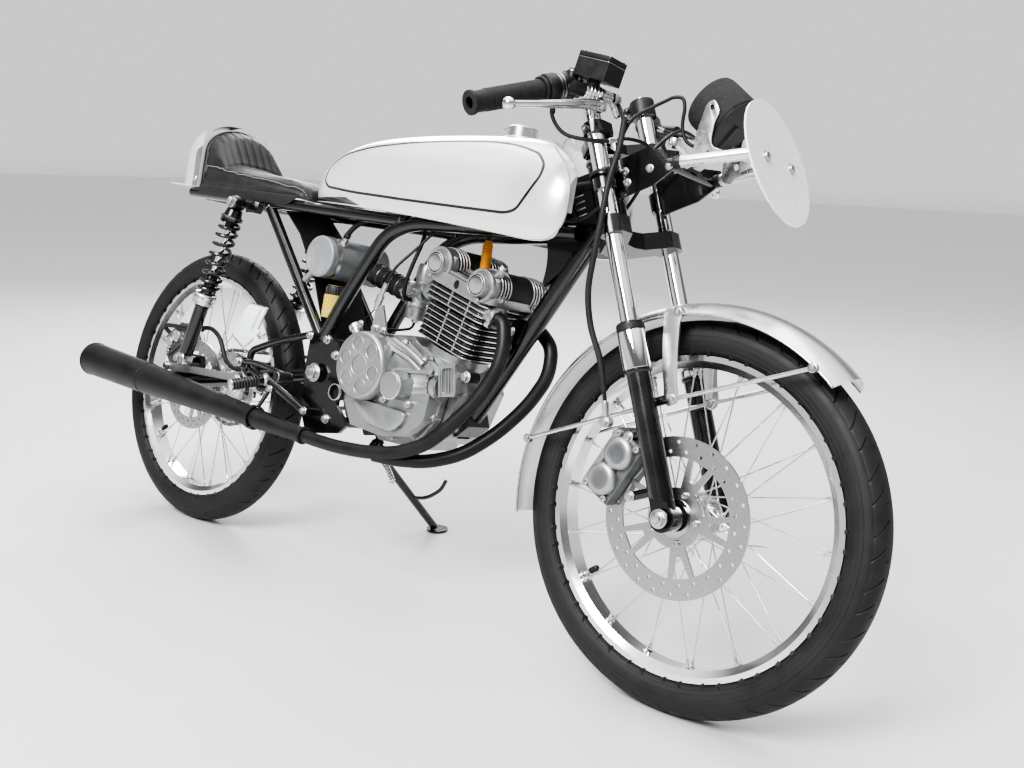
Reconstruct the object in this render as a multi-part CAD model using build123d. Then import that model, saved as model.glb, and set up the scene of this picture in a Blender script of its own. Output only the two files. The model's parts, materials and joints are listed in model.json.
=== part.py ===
"""Light cafe racer motorcycle, parked on its side stand.

Everything is first drawn in the upright frame of the machine, in millimetres:
X forward, Y to the rider's left, Z up, with the rear axle above X = 0 and the
ground at Z = 0.  The parked attitude (a lean to the left about the line where
the tyres touch the ground) and the shift of the origin to the middle of the
machine's footprint are applied to each piece as it is written.
"""
from build123d import *
import math
import os

# Overall dimensions
WHEELBASE = 1215.0
TYRE_RADIUS = 292.0
TYRE_HALF_WIDTH = 31.0
LEAN = 11.47
RAKE = 23.35
TRAIL = 76.0

# Clearances
GAP = 0.3               # between pieces of different bodies, or pieces laid together
RUN = 0.05              # radial running clearance on shafts

# Steering
LEG_SPACING = 166.8
STEM_RADIUS = 13.0
HEAD_RADIUS = 25.0
HEAD_LOW = 456.5
HEAD_HIGH = 590.4
TUBE_RADIUS = 13.5
TUBE_TOP = 700.0
SLIDER_RADIUS = 18.0
SLIDER_TOP = 218.0
COVER_RADIUS = 21.0
COVER_TOP = 288.0
YOKE_THICK = 28.0
LOW_YOKE_S = 456.0
TOP_YOKE_S = 590.0
AXLE_RADIUS = 7.5
LUG_S = 168.0
LUG_F = 78.0
FRONT_AXLE_HALF = 101.0

# Wheels
RIM_RADIUS = 238.4
RIM_HALF = 22.0
RIM_WELL = 226.0
RIM_WALL = 3.0
SPOKE_RADIUS = 1.2
SPOKES = 36
HUB_FLANGE_RADIUS = 36.0
HUB_BARREL_RADIUS = 22.0
HUB_FLANGE_Y = 20.0
HUB_FLANGE_THICK = 6.0
FRONT_DISC_RADIUS = 117.6
FRONT_DISC_Y = -56.0
REAR_DISC_RADIUS = 96.0
REAR_DISC_Y = -48.0
DISC_THICK = 4.0
SPROCKET_RADIUS = 78.0
CHAIN_Y = 50.0
SPROCKET_THICK = 5.0
FRONT_SPROCKET_RADIUS = 27.0

# Frame
MAIN_TUBE = 13.0
RAIL_TUBE = 11.0
DOWN_TUBE = 16.5
FRAME_HALF = 75.0
PIVOT = (427.0, 381.0)
PLATE_THICK = 8.0
REAR_AXLE_HALF = 108.0
ARM_Y = 82.0

# Engine: the crank is the origin of its own frame, t up the cylinder, n forward of it
CRANK = (684.0, 395.0)
CYLINDER_TILT = 16.0
CHAIN_FRONT = (518.0, 384.0)

rake = math.radians(RAKE)
STEER_UP = (-math.sin(rake), 0.0, math.cos(rake))
STEER_FORWARD = (math.cos(rake), 0.0, math.sin(rake))
LEG_OFFSET = TYRE_RADIUS * math.sin(rake) - TRAIL * math.cos(rake)
ALONG = TYRE_RADIUS * math.cos(rake) + TRAIL * math.sin(rake)
FOOT = (WHEELBASE + TRAIL - ALONG * math.sin(rake), ALONG * math.cos(rake))
LEG_Y = LEG_SPACING / 2


def steer(s, f, y=0.0):
    """A point s up the steering axis from the axle's level, f in front of it, y to the left."""
    x = FOOT[0] - s * math.sin(rake) + f * math.cos(rake)
    z = FOOT[1] + s * math.cos(rake) + f * math.sin(rake)
    return Vector(x, y, z)


def engine(t, n, y=0.0):
    """A point t up the cylinder axis from the crank, n in front of it, y to the left."""
    tilt = math.radians(CYLINDER_TILT)
    x = CRANK[0] + t * math.sin(tilt) + n * math.cos(tilt)
    z = CRANK[1] + t * math.cos(tilt) - n * math.sin(tilt)
    return Vector(x, y, z)


def rod(a, b, radius, inner=0.0):
    """A round bar or tube from point a to point b."""
    a, b = Vector(*a), Vector(*b)
    plane = Plane(origin=a, z_dir=(b - a).normalized())
    shape = extrude(plane * Circle(radius), (b - a).length)
    if inner:
        shape -= extrude(plane * Circle(inner), (b - a).length)
    return shape


def bent(points, radius, share=0.45, inner=0.0):
    """A bent tube: straight runs joined by arcs as large as the shorter run allows."""
    pts = [Vector(*p) for p in points]
    radii = []
    for before, here, after in zip(pts, pts[1:], pts[2:]):
        turn = math.radians((here - before).get_angle(after - here))
        run = min((here - before).length, (after - here).length)
        radii.append(share * run / math.tan(turn / 2))
    path = FilletPolyline(*pts, radius=radii)
    plane = Plane(origin=path @ 0, z_dir=path % 0)
    shape = sweep(plane * Circle(radius), path)
    if inner:
        shape -= sweep(plane * Circle(inner), path)
    return shape


def slab(points, y0, y1):
    """A plate: the outline in X and Z, between two values of Y."""
    outline = [Vector(p[0], y1, p[1]) if len(p) == 2 else Vector(p[0], y1, p[2]) for p in map(tuple, points)]
    return extrude(make_face(Polyline(*outline, close=True)), y1 - y0, dir=(0, -1, 0))


def ring(profile, centre_x, centre_z, arc=360.0):
    """A solid turned about a wheel's axle from (y, r) pairs."""
    face = make_face(Plane.YZ * Polyline(*profile, close=True))
    turned = revolve(face, Axis.Y, arc)
    return Pos(centre_x, 0, centre_z) * turned


NODES = {}


def node(name, *shapes):
    """Keep a named piece made of one or more solids."""
    solids = []
    for shape in shapes:
        solids.extend(shape.solids())
    NODES[name] = solids[0] if len(solids) == 1 else Compound(solids)


# Wheels
def tyre(x):
    """A round-shouldered tyre on the rim."""
    bead = RIM_WELL + RIM_WALL + 4.0
    crown = TYRE_RADIUS - TYRE_HALF_WIDTH
    with BuildSketch(Plane.YZ) as sketch:
        with Locations((0, crown)):
            Circle(TYRE_HALF_WIDTH)
        with Locations((0, crown)):
            Circle(TYRE_HALF_WIDTH - 5.0, mode=Mode.SUBTRACT)
        low = RIM_RADIUS - 16.0
        with Locations((0, (low + RIM_RADIUS + GAP) / 2)):
            Rectangle(2 * (TYRE_HALF_WIDTH + 1), RIM_RADIUS + GAP - low, mode=Mode.SUBTRACT)
        for side in (-1, 1):
            with Locations((side * (RIM_HALF - RIM_WALL - 3.2), (bead + RIM_RADIUS + 6) / 2)):
                Rectangle(6.0, RIM_RADIUS + 6 - bead)
    return Pos(x, 0, TYRE_RADIUS) * revolve(sketch.sketch, Axis.Y, 360)


def rim(x):
    """A polished channel rim with a flat inner face."""
    h, w, r, wall = RIM_HALF, RIM_WELL, RIM_RADIUS, RIM_WALL
    profile = [(-h, r), (-h, w + 4), (-h + 7, w - 6), (h - 7, w - 6), (h, w + 4), (h, r),
               (h - wall, r), (h - wall, w + wall + 3), (h - 9, w + wall + 3), (h - 11, w - 6 + wall),
               (-h + 11, w - 6 + wall), (-h + 9, w + wall + 3), (-h + wall, w + wall + 3), (-h + wall, r)]
    return ring(profile, x, TYRE_RADIUS)


def spokes(x):
    """Crossed spokes: on each side nine pull forward outside the flange, nine backward inside it."""
    bars = []
    pairs = SPOKES // 4
    rim_r = RIM_WELL - 6 - GAP
    hub_r = HUB_FLANGE_RADIUS - 5.0
    for side in (-1, 1):
        for k in range(pairs):
            for way in (-1, 1):
                rim_angle = math.radians(360 / pairs * k + (90 / pairs) * way + (90 / pairs) * (side + 1))
                hub_angle = rim_angle + math.radians(66.0) * way
                beside = HUB_FLANGE_THICK / 2 + SPOKE_RADIUS + 1.2
                hub_y = side * (HUB_FLANGE_Y + way * beside)
                rim_y = side * (6.0 + 2.0 * way)
                a = (hub_r * math.sin(hub_angle), hub_y, hub_r * math.cos(hub_angle))
                b = (rim_r * math.sin(rim_angle), rim_y, rim_r * math.cos(rim_angle))
                bars.append(rod(a, b, SPOKE_RADIUS))
    return Pos(x, 0, TYRE_RADIUS) * Compound(bars)


def hub(x, profile):
    """A turned hub with two spoke flanges, bored for its axle."""
    bore = AXLE_RADIUS + RUN
    return ring([(profile[0][0], bore), *profile, (profile[-1][0], bore)], x, TYRE_RADIUS)


def disc(x, y, radius, inner, carrier_radius, arms):
    """A drilled brake disc on a carrier with forked arms."""
    t = DISC_THICK
    plate = Plane.XZ.offset(-y - t / 2)
    band = plate * Circle(radius) - plate * Circle(inner)
    centre = plate * Circle(carrier_radius) - plate * Circle(HUB_BARREL_RADIUS + 6 + 0.2)
    sketch = band + centre
    low, high = carrier_radius - 4, inner + 4
    arm = make_face(Polyline((low, -11), (high, -23), (high, 23), (low, 11), close=True))
    start, end = carrier_radius + 12, inner - 1
    fork = make_face(Polyline((start, -4), (end, -14), (end, 14), (start, 4), close=True))
    for k in range(arms):
        sketch += plate * (Rot(0, 0, 360 / arms * k) * (arm - fork))
    for k in range(24):
        for step, r in ((0, inner + 8), (0.5, radius - 8)):
            hole = Rot(0, 0, 15 * (k + step)) * Pos(r, 0, 0)
            sketch -= plate * (hole * Circle(3.0))
    return Pos(x, 0, TYRE_RADIUS) * extrude(sketch, t)


fy, ft = HUB_FLANGE_Y, HUB_FLANGE_THICK / 2
fr, br = HUB_FLANGE_RADIUS, HUB_BARREL_RADIUS
disc_seat = FRONT_DISC_Y + DISC_THICK / 2
front_hub = [(FRONT_DISC_Y - 4, br), (FRONT_DISC_Y - 4, br + 6), (disc_seat + 0.2, br + 6), (disc_seat + 0.2, 44),
             (disc_seat + 6, 44), (-fy - ft - 12, 28), (-fy - ft, 28), (-fy - ft, fr), (-fy + ft, fr),
             (-fy + ft, br), (fy - ft, br), (fy - ft, fr), (fy + ft, fr), (fy + ft, 26), (40, 20)]
node("front_tyre", tyre(WHEELBASE))
node("front_rim", rim(WHEELBASE))
node("front_hub", hub(WHEELBASE, front_hub), spokes(WHEELBASE))
node("front_disc", disc(WHEELBASE, FRONT_DISC_Y, FRONT_DISC_RADIUS, 88.0, 44.0, 5))

rear_seat = REAR_DISC_Y + DISC_THICK / 2
chain_in = CHAIN_Y - SPROCKET_THICK / 2
rear_hub = [(REAR_DISC_Y - 6, br), (REAR_DISC_Y - 6, br + 6), (rear_seat + 0.2, br + 6), (rear_seat + 0.2, 40),
            (rear_seat + 5, 40), (-fy - ft - 8, 28), (-fy - ft, 28), (-fy - ft, fr), (-fy + ft, fr),
            (-fy + ft, br), (fy - ft, br), (fy - ft, fr), (fy + ft, fr), (fy + ft, 28),
            (chain_in - 5, 40), (chain_in - 0.2, 40), (chain_in - 0.2, br + 6), (CHAIN_Y + 8, br + 6)]
node("rear_tyre", tyre(0))
node("rear_rim", rim(0))
node("rear_hub", hub(0, rear_hub), spokes(0))
node("rear_disc", disc(0, REAR_DISC_Y, REAR_DISC_RADIUS, 72.0, 40.0, 5))


def rear_sprocket():
    """Toothed wheel with five openings, seated on the hub."""
    teeth = 38
    plate = Plane.XZ.offset(-CHAIN_Y - SPROCKET_THICK / 2)
    sketch = plate * Circle(SPROCKET_RADIUS) - plate * Circle(br + 6 + 0.2)
    for k in range(5):
        sketch -= plate * (Rot(0, 0, 72 * k) * Pos(55, 0, 0) * Circle(11))
    step = 360 / teeth
    for k in range(teeth):
        sketch -= plate * (Rot(0, 0, step * k) * Pos(SPROCKET_RADIUS + 0.5, 0, 0) * Circle(3.6))
    return Pos(0, 0, TYRE_RADIUS) * extrude(sketch, SPROCKET_THICK)


node("rear_sprocket", rear_sprocket())

# Steering head, fork and front fender
pair_y = (-LEG_Y, LEG_Y)


def yoke(s, thick, clamp):
    """A fork yoke: two split clamps on a waisted plate about the stem."""
    plane = Plane(origin=steer(s, 0), x_dir=STEER_FORWARD, z_dir=STEER_UP)
    outline = [(-18, 0), (-16, 30), (LEG_OFFSET - clamp, LEG_Y - 14), (LEG_OFFSET - clamp, LEG_Y),
               (LEG_OFFSET + clamp, LEG_Y), (LEG_OFFSET + clamp, LEG_Y - 22), (34, 26), (30, 0)]
    outline += [(a, -b) for a, b in reversed(outline[1:-1])]
    face = plane * make_face(Polyline(*outline, close=True))
    for y in pair_y:
        face += plane * Pos(LEG_OFFSET, y, 0) * Circle(clamp)
    shape = extrude(face, thick)
    for y in pair_y:
        shape -= rod(steer(s - 1, LEG_OFFSET, y), steer(s + thick + 1, LEG_OFFSET, y), TUBE_RADIUS + 0.2)
    return shape


def fork_yokes():
    """Lower yoke, stem and upper yoke, as one rigid piece."""
    low = yoke(LOW_YOKE_S - YOKE_THICK, YOKE_THICK, 20.0)
    top = yoke(TOP_YOKE_S + 1.0, 18.0, 19.0)
    stem = rod(steer(LOW_YOKE_S - 1, 0), steer(TOP_YOKE_S + 24, 0), STEM_RADIUS)
    nut = rod(steer(TOP_YOKE_S + 18, 0), steer(TOP_YOKE_S + 28, 0), 17)
    return low + top + stem + nut


def fork_leg(y):
    return rod(steer(60, LEG_OFFSET, y), steer(TUBE_TOP, LEG_OFFSET, y), TUBE_RADIUS)


CALIPER_LUGS = ((127.0, 8.0), (41.5, -8.0))
CALIPER_LUG_Y = -73.0


def caliper_lugs(radius):
    """Bars from the right leg to the caliper's two bolts."""
    bars = [rod(steer(s, LEG_OFFSET, CALIPER_LUG_Y), steer(s, f, CALIPER_LUG_Y), radius) for s, f in CALIPER_LUGS]
    return bars[0] + bars[1]


def fork_slider(y):
    """Lower leg with its seal cover and axle lug; the tube runs into it."""
    body = rod(steer(-14, LEG_OFFSET, y), steer(SLIDER_TOP, LEG_OFFSET, y), SLIDER_RADIUS)
    cover = rod(steer(SLIDER_TOP - 2, LEG_OFFSET, y), steer(COVER_TOP, LEG_OFFSET, y), COVER_RADIUS)
    lug = rod(Vector(WHEELBASE, y - 16, TYRE_RADIUS), Vector(WHEELBASE, y + 16, TYRE_RADIUS), 20)
    shape = body + cover + lug
    outer = math.copysign(LEG_Y + 11.2, y)
    flat = Pos(WHEELBASE, outer + math.copysign(20, y), TYRE_RADIUS) * Box(60, 40, 50)
    inner = math.copysign(LEG_Y - 16.2, y)
    flat += Pos(WHEELBASE, inner - math.copysign(20, y), TYRE_RADIUS) * Box(60, 40, 50)
    shape -= flat
    lug_at = steer(LUG_S, LUG_F, y - math.copysign(SLIDER_RADIUS - 3, y))
    shape += rod(steer(LUG_S, LEG_OFFSET, lug_at.Y), lug_at, 7)
    if y < 0:
        shape += caliper_lugs(7.0)
    shape -= rod(steer(60 - GAP, LEG_OFFSET, y), steer(COVER_TOP + 1, LEG_OFFSET, y), TUBE_RADIUS + 0.2)
    shape -= rod(Vector(WHEELBASE, -150, TYRE_RADIUS), Vector(WHEELBASE, 150, TYRE_RADIUS), AXLE_RADIUS + 0.05)
    return shape


node("fork_yokes", fork_yokes())
node("fork_tubes", *[fork_leg(y) for y in pair_y])
sliders = [fork_slider(y) for y in pair_y]


def front_axle():
    """Axle with spacers that reach from the fork legs to the hub."""
    a = Vector(WHEELBASE, -FRONT_AXLE_HALF, TYRE_RADIUS)
    shape = rod(a, Vector(WHEELBASE, FRONT_AXLE_HALF, TYRE_RADIUS), AXLE_RADIUS)
    spans = ((-LEG_Y + 16.2, FRONT_DISC_Y - 4 - 0.5), (40.5, LEG_Y - 16.2))
    for y0, y1 in spans:
        shape += rod(Vector(WHEELBASE, y0, TYRE_RADIUS), Vector(WHEELBASE, y1, TYRE_RADIUS), 12)
    for y in (-FRONT_AXLE_HALF, FRONT_AXLE_HALF):
        out = math.copysign(1.0, y)
        start = out * (LEG_Y + 11.4)
        shape += rod(Vector(WHEELBASE, start, TYRE_RADIUS), Vector(WHEELBASE, start + out * 7, TYRE_RADIUS), 11)
    return shape


node("front_axle", front_axle())

# Front fender: a crowned strip turned about the axle
FENDER_CROWN = 318.0
FENDER_EDGE = 296.0
FENDER_HALF = 50.0
FENDER_WALL = 2.0
FENDER_FRONT = 48.7
FENDER_REAR = 191.7


def front_fender():
    sag = FENDER_CROWN - FENDER_EDGE
    bow = (FENDER_HALF ** 2 + sag ** 2) / (2 * sag)
    low = FENDER_CROWN - bow
    half = math.degrees(math.asin(FENDER_HALF / bow))
    with BuildSketch(Plane.YZ) as sketch:
        with BuildLine():
            outer = CenterArc((0, low), bow, 90 - half, 2 * half)
            inner = CenterArc((0, low), bow - FENDER_WALL, 90 - half, 2 * half)
            Line(outer @ 0, inner @ 0)
            Line(outer @ 1, inner @ 1)
        make_face()
    turned = revolve(sketch.sketch, Axis.Y, FENDER_REAR - FENDER_FRONT)
    return Pos(WHEELBASE, 0, TYRE_RADIUS) * Rot(0, 90 - FENDER_REAR, 0) * turned


node("front_fender", front_fender())


def fender_point(angle, radius, y):
    a = math.radians(angle)
    return Vector(WHEELBASE + radius * math.cos(a), y, TYRE_RADIUS + radius * math.sin(a))


def fender_stays():
    """On each side a front and a rear stay and an upright strip, all from the lug on the fork leg."""
    bars = []
    for y in pair_y:
        out = math.copysign(1.0, y)
        plane_y = out * (FENDER_HALF + 7.5)
        edge_y = out * (FENDER_HALF + 3.6)
        start = steer(LUG_S, LUG_F, plane_y)
        boss = rod(start - Vector(0, out * 4, 0), steer(LUG_S, LUG_F, out * (LEG_Y - SLIDER_RADIUS - 4.2)), 7)
        ends = [fender_point(56.0, FENDER_EDGE - 2, edge_y), fender_point(168.0, FENDER_EDGE - 2, edge_y),
                fender_point(100.0, FENDER_EDGE + 2, edge_y)]
        shape = boss
        for end in ends:
            shape += rod(start, end, 3.3)
            shape += Pos(end) * Rot(90, 0, 0) * Cylinder(7, 6.6)
        bars.append(shape)
    return bars


node("fender_stays", *fender_stays())


def front_caliper():
    """Two-piston caliper over the disc, on two lugs that reach the slider."""
    centre = Vector(WHEELBASE - 104, 0, TYRE_RADIUS + 54)
    away = math.degrees(math.atan2(54, -104))
    disc_face = DISC_THICK / 2 + 1.5
    place = Pos(centre.X, FRONT_DISC_Y, centre.Z) * Rot(0, -away + 90, 0)
    body = place * Box(104, 50, 56)
    slot = place * Pos(0, 0, -14) * Box(120, 2 * disc_face, 70)
    shape = body - slot
    for shift in (-24, 24):
        piston = place * Pos(shift, -25 - 6, 0) * Rot(90, 0, 0) * Cylinder(19, 12)
        shape += piston
    shape -= rod(steer(-30, LEG_OFFSET, -LEG_Y), steer(300, LEG_OFFSET, -LEG_Y), COVER_RADIUS + 0.6)
    return shape - caliper_lugs(7.2)


node("front_caliper", front_caliper())
node("fork_sliders", *sliders)

# Handlebars and controls
BAR_RADIUS = 11.0
BAR_BORE = 8.5
BAR_BORE_DEPTH = 60.0
GRIP_RADIUS = 16.0
CLAMP_S = 681.0
GRIP_IN = 160.0
GRIP_OUT = 282.0
BAR_SWEEP = 0.40
BAR_DROP = 0.30


def bar_point(y, ahead=0.0, above=0.0):
    """A point on the right or left handlebar at the given distance from the middle."""
    out = abs(y) - LEG_Y
    return steer(CLAMP_S - BAR_DROP * out + above, LEG_OFFSET - BAR_SWEEP * out + ahead, y)


def clip_on(y):
    clamp = rod(steer(CLAMP_S - 15, LEG_OFFSET, y), steer(CLAMP_S + 15, LEG_OFFSET, y), 20)
    bar = rod(bar_point(y), bar_point(math.copysign(GRIP_OUT - 3, y)), BAR_RADIUS)
    end = bar_point(math.copysign(GRIP_OUT - 3, y))
    way = (end - bar_point(y)).normalized()
    shape = clamp + bar - rod(end - way * BAR_BORE_DEPTH, end + way * 5, BAR_BORE)
    return shape - rod(steer(560, LEG_OFFSET, y), steer(740, LEG_OFFSET, y), TUBE_RADIUS + 0.2)


def grip(y):
    inner, outer = bar_point(math.copysign(GRIP_IN, y)), bar_point(math.copysign(GRIP_OUT, y))
    way = (outer - inner).normalized()
    shape = rod(inner, outer, GRIP_RADIUS) + rod(inner, inner + way * 6, GRIP_RADIUS + 4)
    shape += rod(outer - way * 5, outer, GRIP_RADIUS + 2)
    shape -= rod(inner - way, outer - way * 2, BAR_RADIUS + 0.2)
    return shape - rod(outer - way * 5, outer + way * 5, BAR_BORE)


node("clip_on_bars", *[clip_on(y) for y in pair_y])
node("grips", *[grip(y) for y in pair_y])


def control_block(y):
    """Clamp and housing just inside the grip."""
    out = math.copysign(1.0, y)
    start, end = bar_point(out * (GRIP_IN - 44)), bar_point(out * (GRIP_IN - 1))
    return rod(start, end, 21) - rod(start - (end - start), end + (end - start), BAR_RADIUS + 0.2)


LEVER_PIVOT = (1000.0, 112.0, 872.0)
LEVER_BOLT = 4.0


def lever_bolt(side):
    x, y, z = LEVER_PIVOT
    return rod(Vector(x, side * y, z - 10), Vector(x, side * y, z + 12), LEVER_BOLT)


def front_master_cylinder():
    """Throttle housing, pump body and square reservoir, on the right bar."""
    at = bar_point(-132)
    pump = rod(Vector(1000, -92, 889), Vector(972, -150, 891), 10)
    tank = Pos(995, -120, 924) * Rot(0, 12, 0) * Box(60, 42, 34)
    neck = rod(Vector(986, -118, 892), Vector(988, -118, 912), 9)
    arm = rod(at, Vector(984, -124, 892), 8)
    shape = control_block(-1.0) + arm + pump + neck + tank + lever_bolt(-1)
    return shape - rod(bar_point(-60), bar_point(-200), BAR_RADIUS + 0.2)


def lever(side):
    """A slim lever that ends in a ball, in front of the grip."""
    pivot = Vector(LEVER_PIVOT[0], side * LEVER_PIVOT[1], LEVER_PIVOT[2])
    elbow = Vector(998, side * 160, 862)
    end = steer(580, 46, side * 298)
    shape = rod(pivot - Vector(0, 0, 5), pivot + Vector(0, 0, 5), 10) + rod(pivot, elbow, 5)
    shape += Pos(elbow) * Sphere(5) + rod(elbow, end, 5) + Pos(end) * Sphere(9.5)
    return shape - rod(pivot - Vector(0, 0, 12), pivot + Vector(0, 0, 12), LEVER_BOLT + RUN)


def clutch_perch():
    """Housing with the arm that carries the clutch lever."""
    arm = rod(bar_point(GRIP_IN - 30), Vector(LEVER_PIVOT[0], LEVER_PIVOT[1], 890), 9)
    return (control_block(1.0) + arm + lever_bolt(1)) - rod(bar_point(60), bar_point(200), BAR_RADIUS + 0.2)


node("bar_controls", front_master_cylinder(), clutch_perch())
node("bar_levers", lever(-1), lever(1))

HOSE_RADIUS = 3.2
HOSE_PATH = [(633, 85.3, -91.6), (628, 90, -76), (596, 98, -80), (550, 88, -94), (500, 68, -108), (446, 46, -112),
             (396, 22, -112), (350, 0, -108), (300, -10, -102), (250, -8, -96), (200, -14, -90), (160, -22, -84)]


def brake_hose():
    """Hose from the pump, down past the lower yoke and behind the leg to the caliper."""
    return bent([steer(*point) for point in HOSE_PATH], HOSE_RADIUS)


node("brake_hose", brake_hose())

# Instrument, bracket and number plate
PLATE_S = 470.0
PLATE_F = 284.0
PLATE_DISC = 96.0


def plate_bracket():
    """Side plates clamped to the fork tubes, joined by forward stays and a cross strip."""
    parts = None
    for y in pair_y:
        out = math.copysign(1.0, y)
        inner = out * (LEG_Y - TUBE_RADIUS - 6.3)
        outline = [(545, LEG_OFFSET + 8), (545, 120), (520, 168), (500, 168), (486, 120), (486, LEG_OFFSET + 8)]
        points = [steer(s, f, inner) for s, f in outline]
        face = make_face(Polyline(*points, close=True))
        side = extrude(face, 4, dir=(0, out, 0))
        clamp = rod(steer(500, LEG_OFFSET, y), steer(530, LEG_OFFSET, y), TUBE_RADIUS + 4)
        clamp -= rod(steer(480, LEG_OFFSET, y), steer(550, LEG_OFFSET, y), TUBE_RADIUS + 0.2)
        stay = rod(steer(508, 150, inner + out * 2), steer(PLATE_S + 10, PLATE_F - 6, out * 41), 8)
        side = side + clamp + stay
        parts = side if parts is None else parts + side
    cross = rod(steer(504, 150, -LEG_Y + 17), steer(504, 150, LEG_Y - 17), 6)
    front = rod(steer(PLATE_S + 10, PLATE_F - 6.4, -48), steer(PLATE_S + 10, PLATE_F - 6.4, 48), 6)
    return parts + cross + front


node("plate_bracket", plate_bracket())


def number_plate():
    a = steer(PLATE_S, PLATE_F, 0)
    return rod(a, a + Vector(*STEER_FORWARD) * 3, PLATE_DISC)


node("number_plate", number_plate())


def gauge():
    """Round instrument in a deep cup, leaning back towards the rider, with its bracket."""
    base = steer(548, 236, 0)
    top = steer(600, 206, 0)
    cup = rod(base, top, 42)
    foot = rod(steer(508.5, 154.5, 0), base + (top - base) * 0.1, 9)
    return cup + foot


node("gauge", gauge())

# Frame
DOWN_TOP = steer(HEAD_LOW + 22, -26)
DOWN_LOW = Vector(752, 0, 346)
GUSSET_HALF = 14.0
GUSSET_CURVE = (752.0, 632.0, 122.0)
VENT_PANEL = [(502, -34), (560, -34), (560, -58), (524, -62), (502, -50)]
REAR_CROSS = (-58.0, 701.5)
SEAT_CROSS = (196.0, 692.6)
LOW_CROSS = (430.0, 290.0, 11.0)
HIGH_CROSS = (416.0, 440.0, 9.0)


def head_frame():
    """Steering head with its bearing seats, gusset and the backbone under the tank."""
    head = rod(steer(HEAD_LOW, 0), steer(HEAD_HIGH, 0), HEAD_RADIUS)
    backbone = rod(steer(HEAD_HIGH - 46, 0), Vector(560, 0, 712), 16)
    gusset = slab([steer(HEAD_LOW + 8, -8), steer(HEAD_HIGH - 20, -8), Vector(800, 0, 742), Vector(876, 0, 600)],
                  -GUSSET_HALF, GUSSET_HALF)
    gusset -= rod(Vector(GUSSET_CURVE[0], -20, GUSSET_CURVE[1]), Vector(GUSSET_CURVE[0], 20, GUSSET_CURVE[1]),
                  GUSSET_CURVE[2])
    panel = [steer(s, f) for s, f in VENT_PANEL]
    for side in (-1, 1):
        low, high = sorted((side * (GUSSET_HALF - 3), side * (GUSSET_HALF + 3)))
        gusset -= slab(panel, low, high)
    shape = head + backbone + gusset
    return shape - rod(steer(HEAD_LOW - 5, 0), steer(HEAD_HIGH + 5, 0), STEM_RADIUS + RUN)


def down_tube():
    """Single front tube from the head to the lower engine mount, with the mount plates."""
    tube = rod(DOWN_TOP, DOWN_LOW, DOWN_TUBE)
    shape = tube - rod(steer(HEAD_LOW - 60, 0), steer(HEAD_HIGH + 5, 0), HEAD_RADIUS - 6)
    lower = slab([(764, 372), (738, 388), (716, 352), (716, 324), (752, 322), (776, 344)], -28, 28)
    upper = slab([(842, 540), (822, 524), (818, 500), (832, 478)], -24, 24)
    return shape + lower + upper


node("frame_spine", head_frame() + down_tube())


PLATE_OUTLINE = [(392, 452), (436, 462), (474, 440), (494, 400), (492, 330), (528, 298), (508, 280),
                 (420, 264), (398, 300), (388, 380)]


def main_path(y):
    """From the head under the tank and down to the pivot plate."""
    return [Vector(930, math.copysign(19, y), 692), Vector(760, math.copysign(50, y), 684), Vector(612, y, 678),
            Vector(548, y, 652), Vector(478, y, 546), Vector(424, y, 446)]


def cross_tube(place, radius):
    """A tube across the frame, at an (x, z) place."""
    return rod(Vector(place[0], -FRAME_HALF, place[1]), Vector(place[0], FRAME_HALF, place[1]), radius)


def plate_space(y):
    """The room a pivot plate and its upper cross tube take up."""
    half = PLATE_THICK / 2 + 0.2
    return slab(PLATE_OUTLINE, y - half, y + half) + cross_tube(HIGH_CROSS, HIGH_CROSS[2] + 0.2)


def main_tube(y):
    shape = bent(main_path(y), MAIN_TUBE)
    shape -= rod(steer(HEAD_LOW, 0), steer(HEAD_HIGH, 0), HEAD_RADIUS + 0.2)
    shape -= slab([steer(HEAD_LOW - 20, 40), steer(HEAD_HIGH, 40), Vector(800, 0, 742), Vector(870, 0, 590)],
                  -GUSSET_HALF - 0.2, GUSSET_HALF + 0.2)
    return shape - rod(DOWN_TOP, DOWN_LOW, DOWN_TUBE + 0.2) - plate_space(y)


node("main_tubes", *[main_tube(y) for y in (-FRAME_HALF, FRAME_HALF)])


def seat_rails():
    """Both rails with their cross tubes and the upper shock mounts."""
    shape = cross_tube(REAR_CROSS, RAIL_TUBE) + cross_tube(SEAT_CROSS, RAIL_TUBE)
    for y in (-FRAME_HALF, FRAME_HALF):
        rail = rod(Vector(600, y, 679), Vector(-70, y, 702), RAIL_TUBE) - bent(main_path(y), MAIN_TUBE + 0.2)
        shape += rail.solids().sort_by(Axis.X)[0]
        shape += rod(Vector(150, y, 681), Vector(150, math.copysign(132, y), 681), 6)
        shape += slab([(125, 700), (175, 698), (165, 668), (138, 668)], y - 9, y + 9)
    return shape


node("seat_rails", seat_rails())


def diagonal(y):
    shape = rod(Vector(196, y, 692), Vector(418, y, 446), RAIL_TUBE) - plate_space(y)
    shape -= bent(main_path(y), MAIN_TUBE + 0.2)
    shape -= cross_tube(SEAT_CROSS, RAIL_TUBE + 0.2)
    shape -= slab([(120, 705), (176, 705), (165.6, 667), (138, 667)], y - 9.3, y + 9.3)
    return shape - rod(Vector(600, y, 679), Vector(-70, y, 702), RAIL_TUBE + 0.2)


node("rear_diagonals", *[diagonal(y).solids().sort_by(SortBy.VOLUME)[-1] for y in (-FRAME_HALF, FRAME_HALF)])


def pivot_plate(y):
    """Plate that carries the swingarm pivot, the engine and the foot rest bracket."""
    return slab(PLATE_OUTLINE, y - PLATE_THICK / 2, y + PLATE_THICK / 2)


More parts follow.
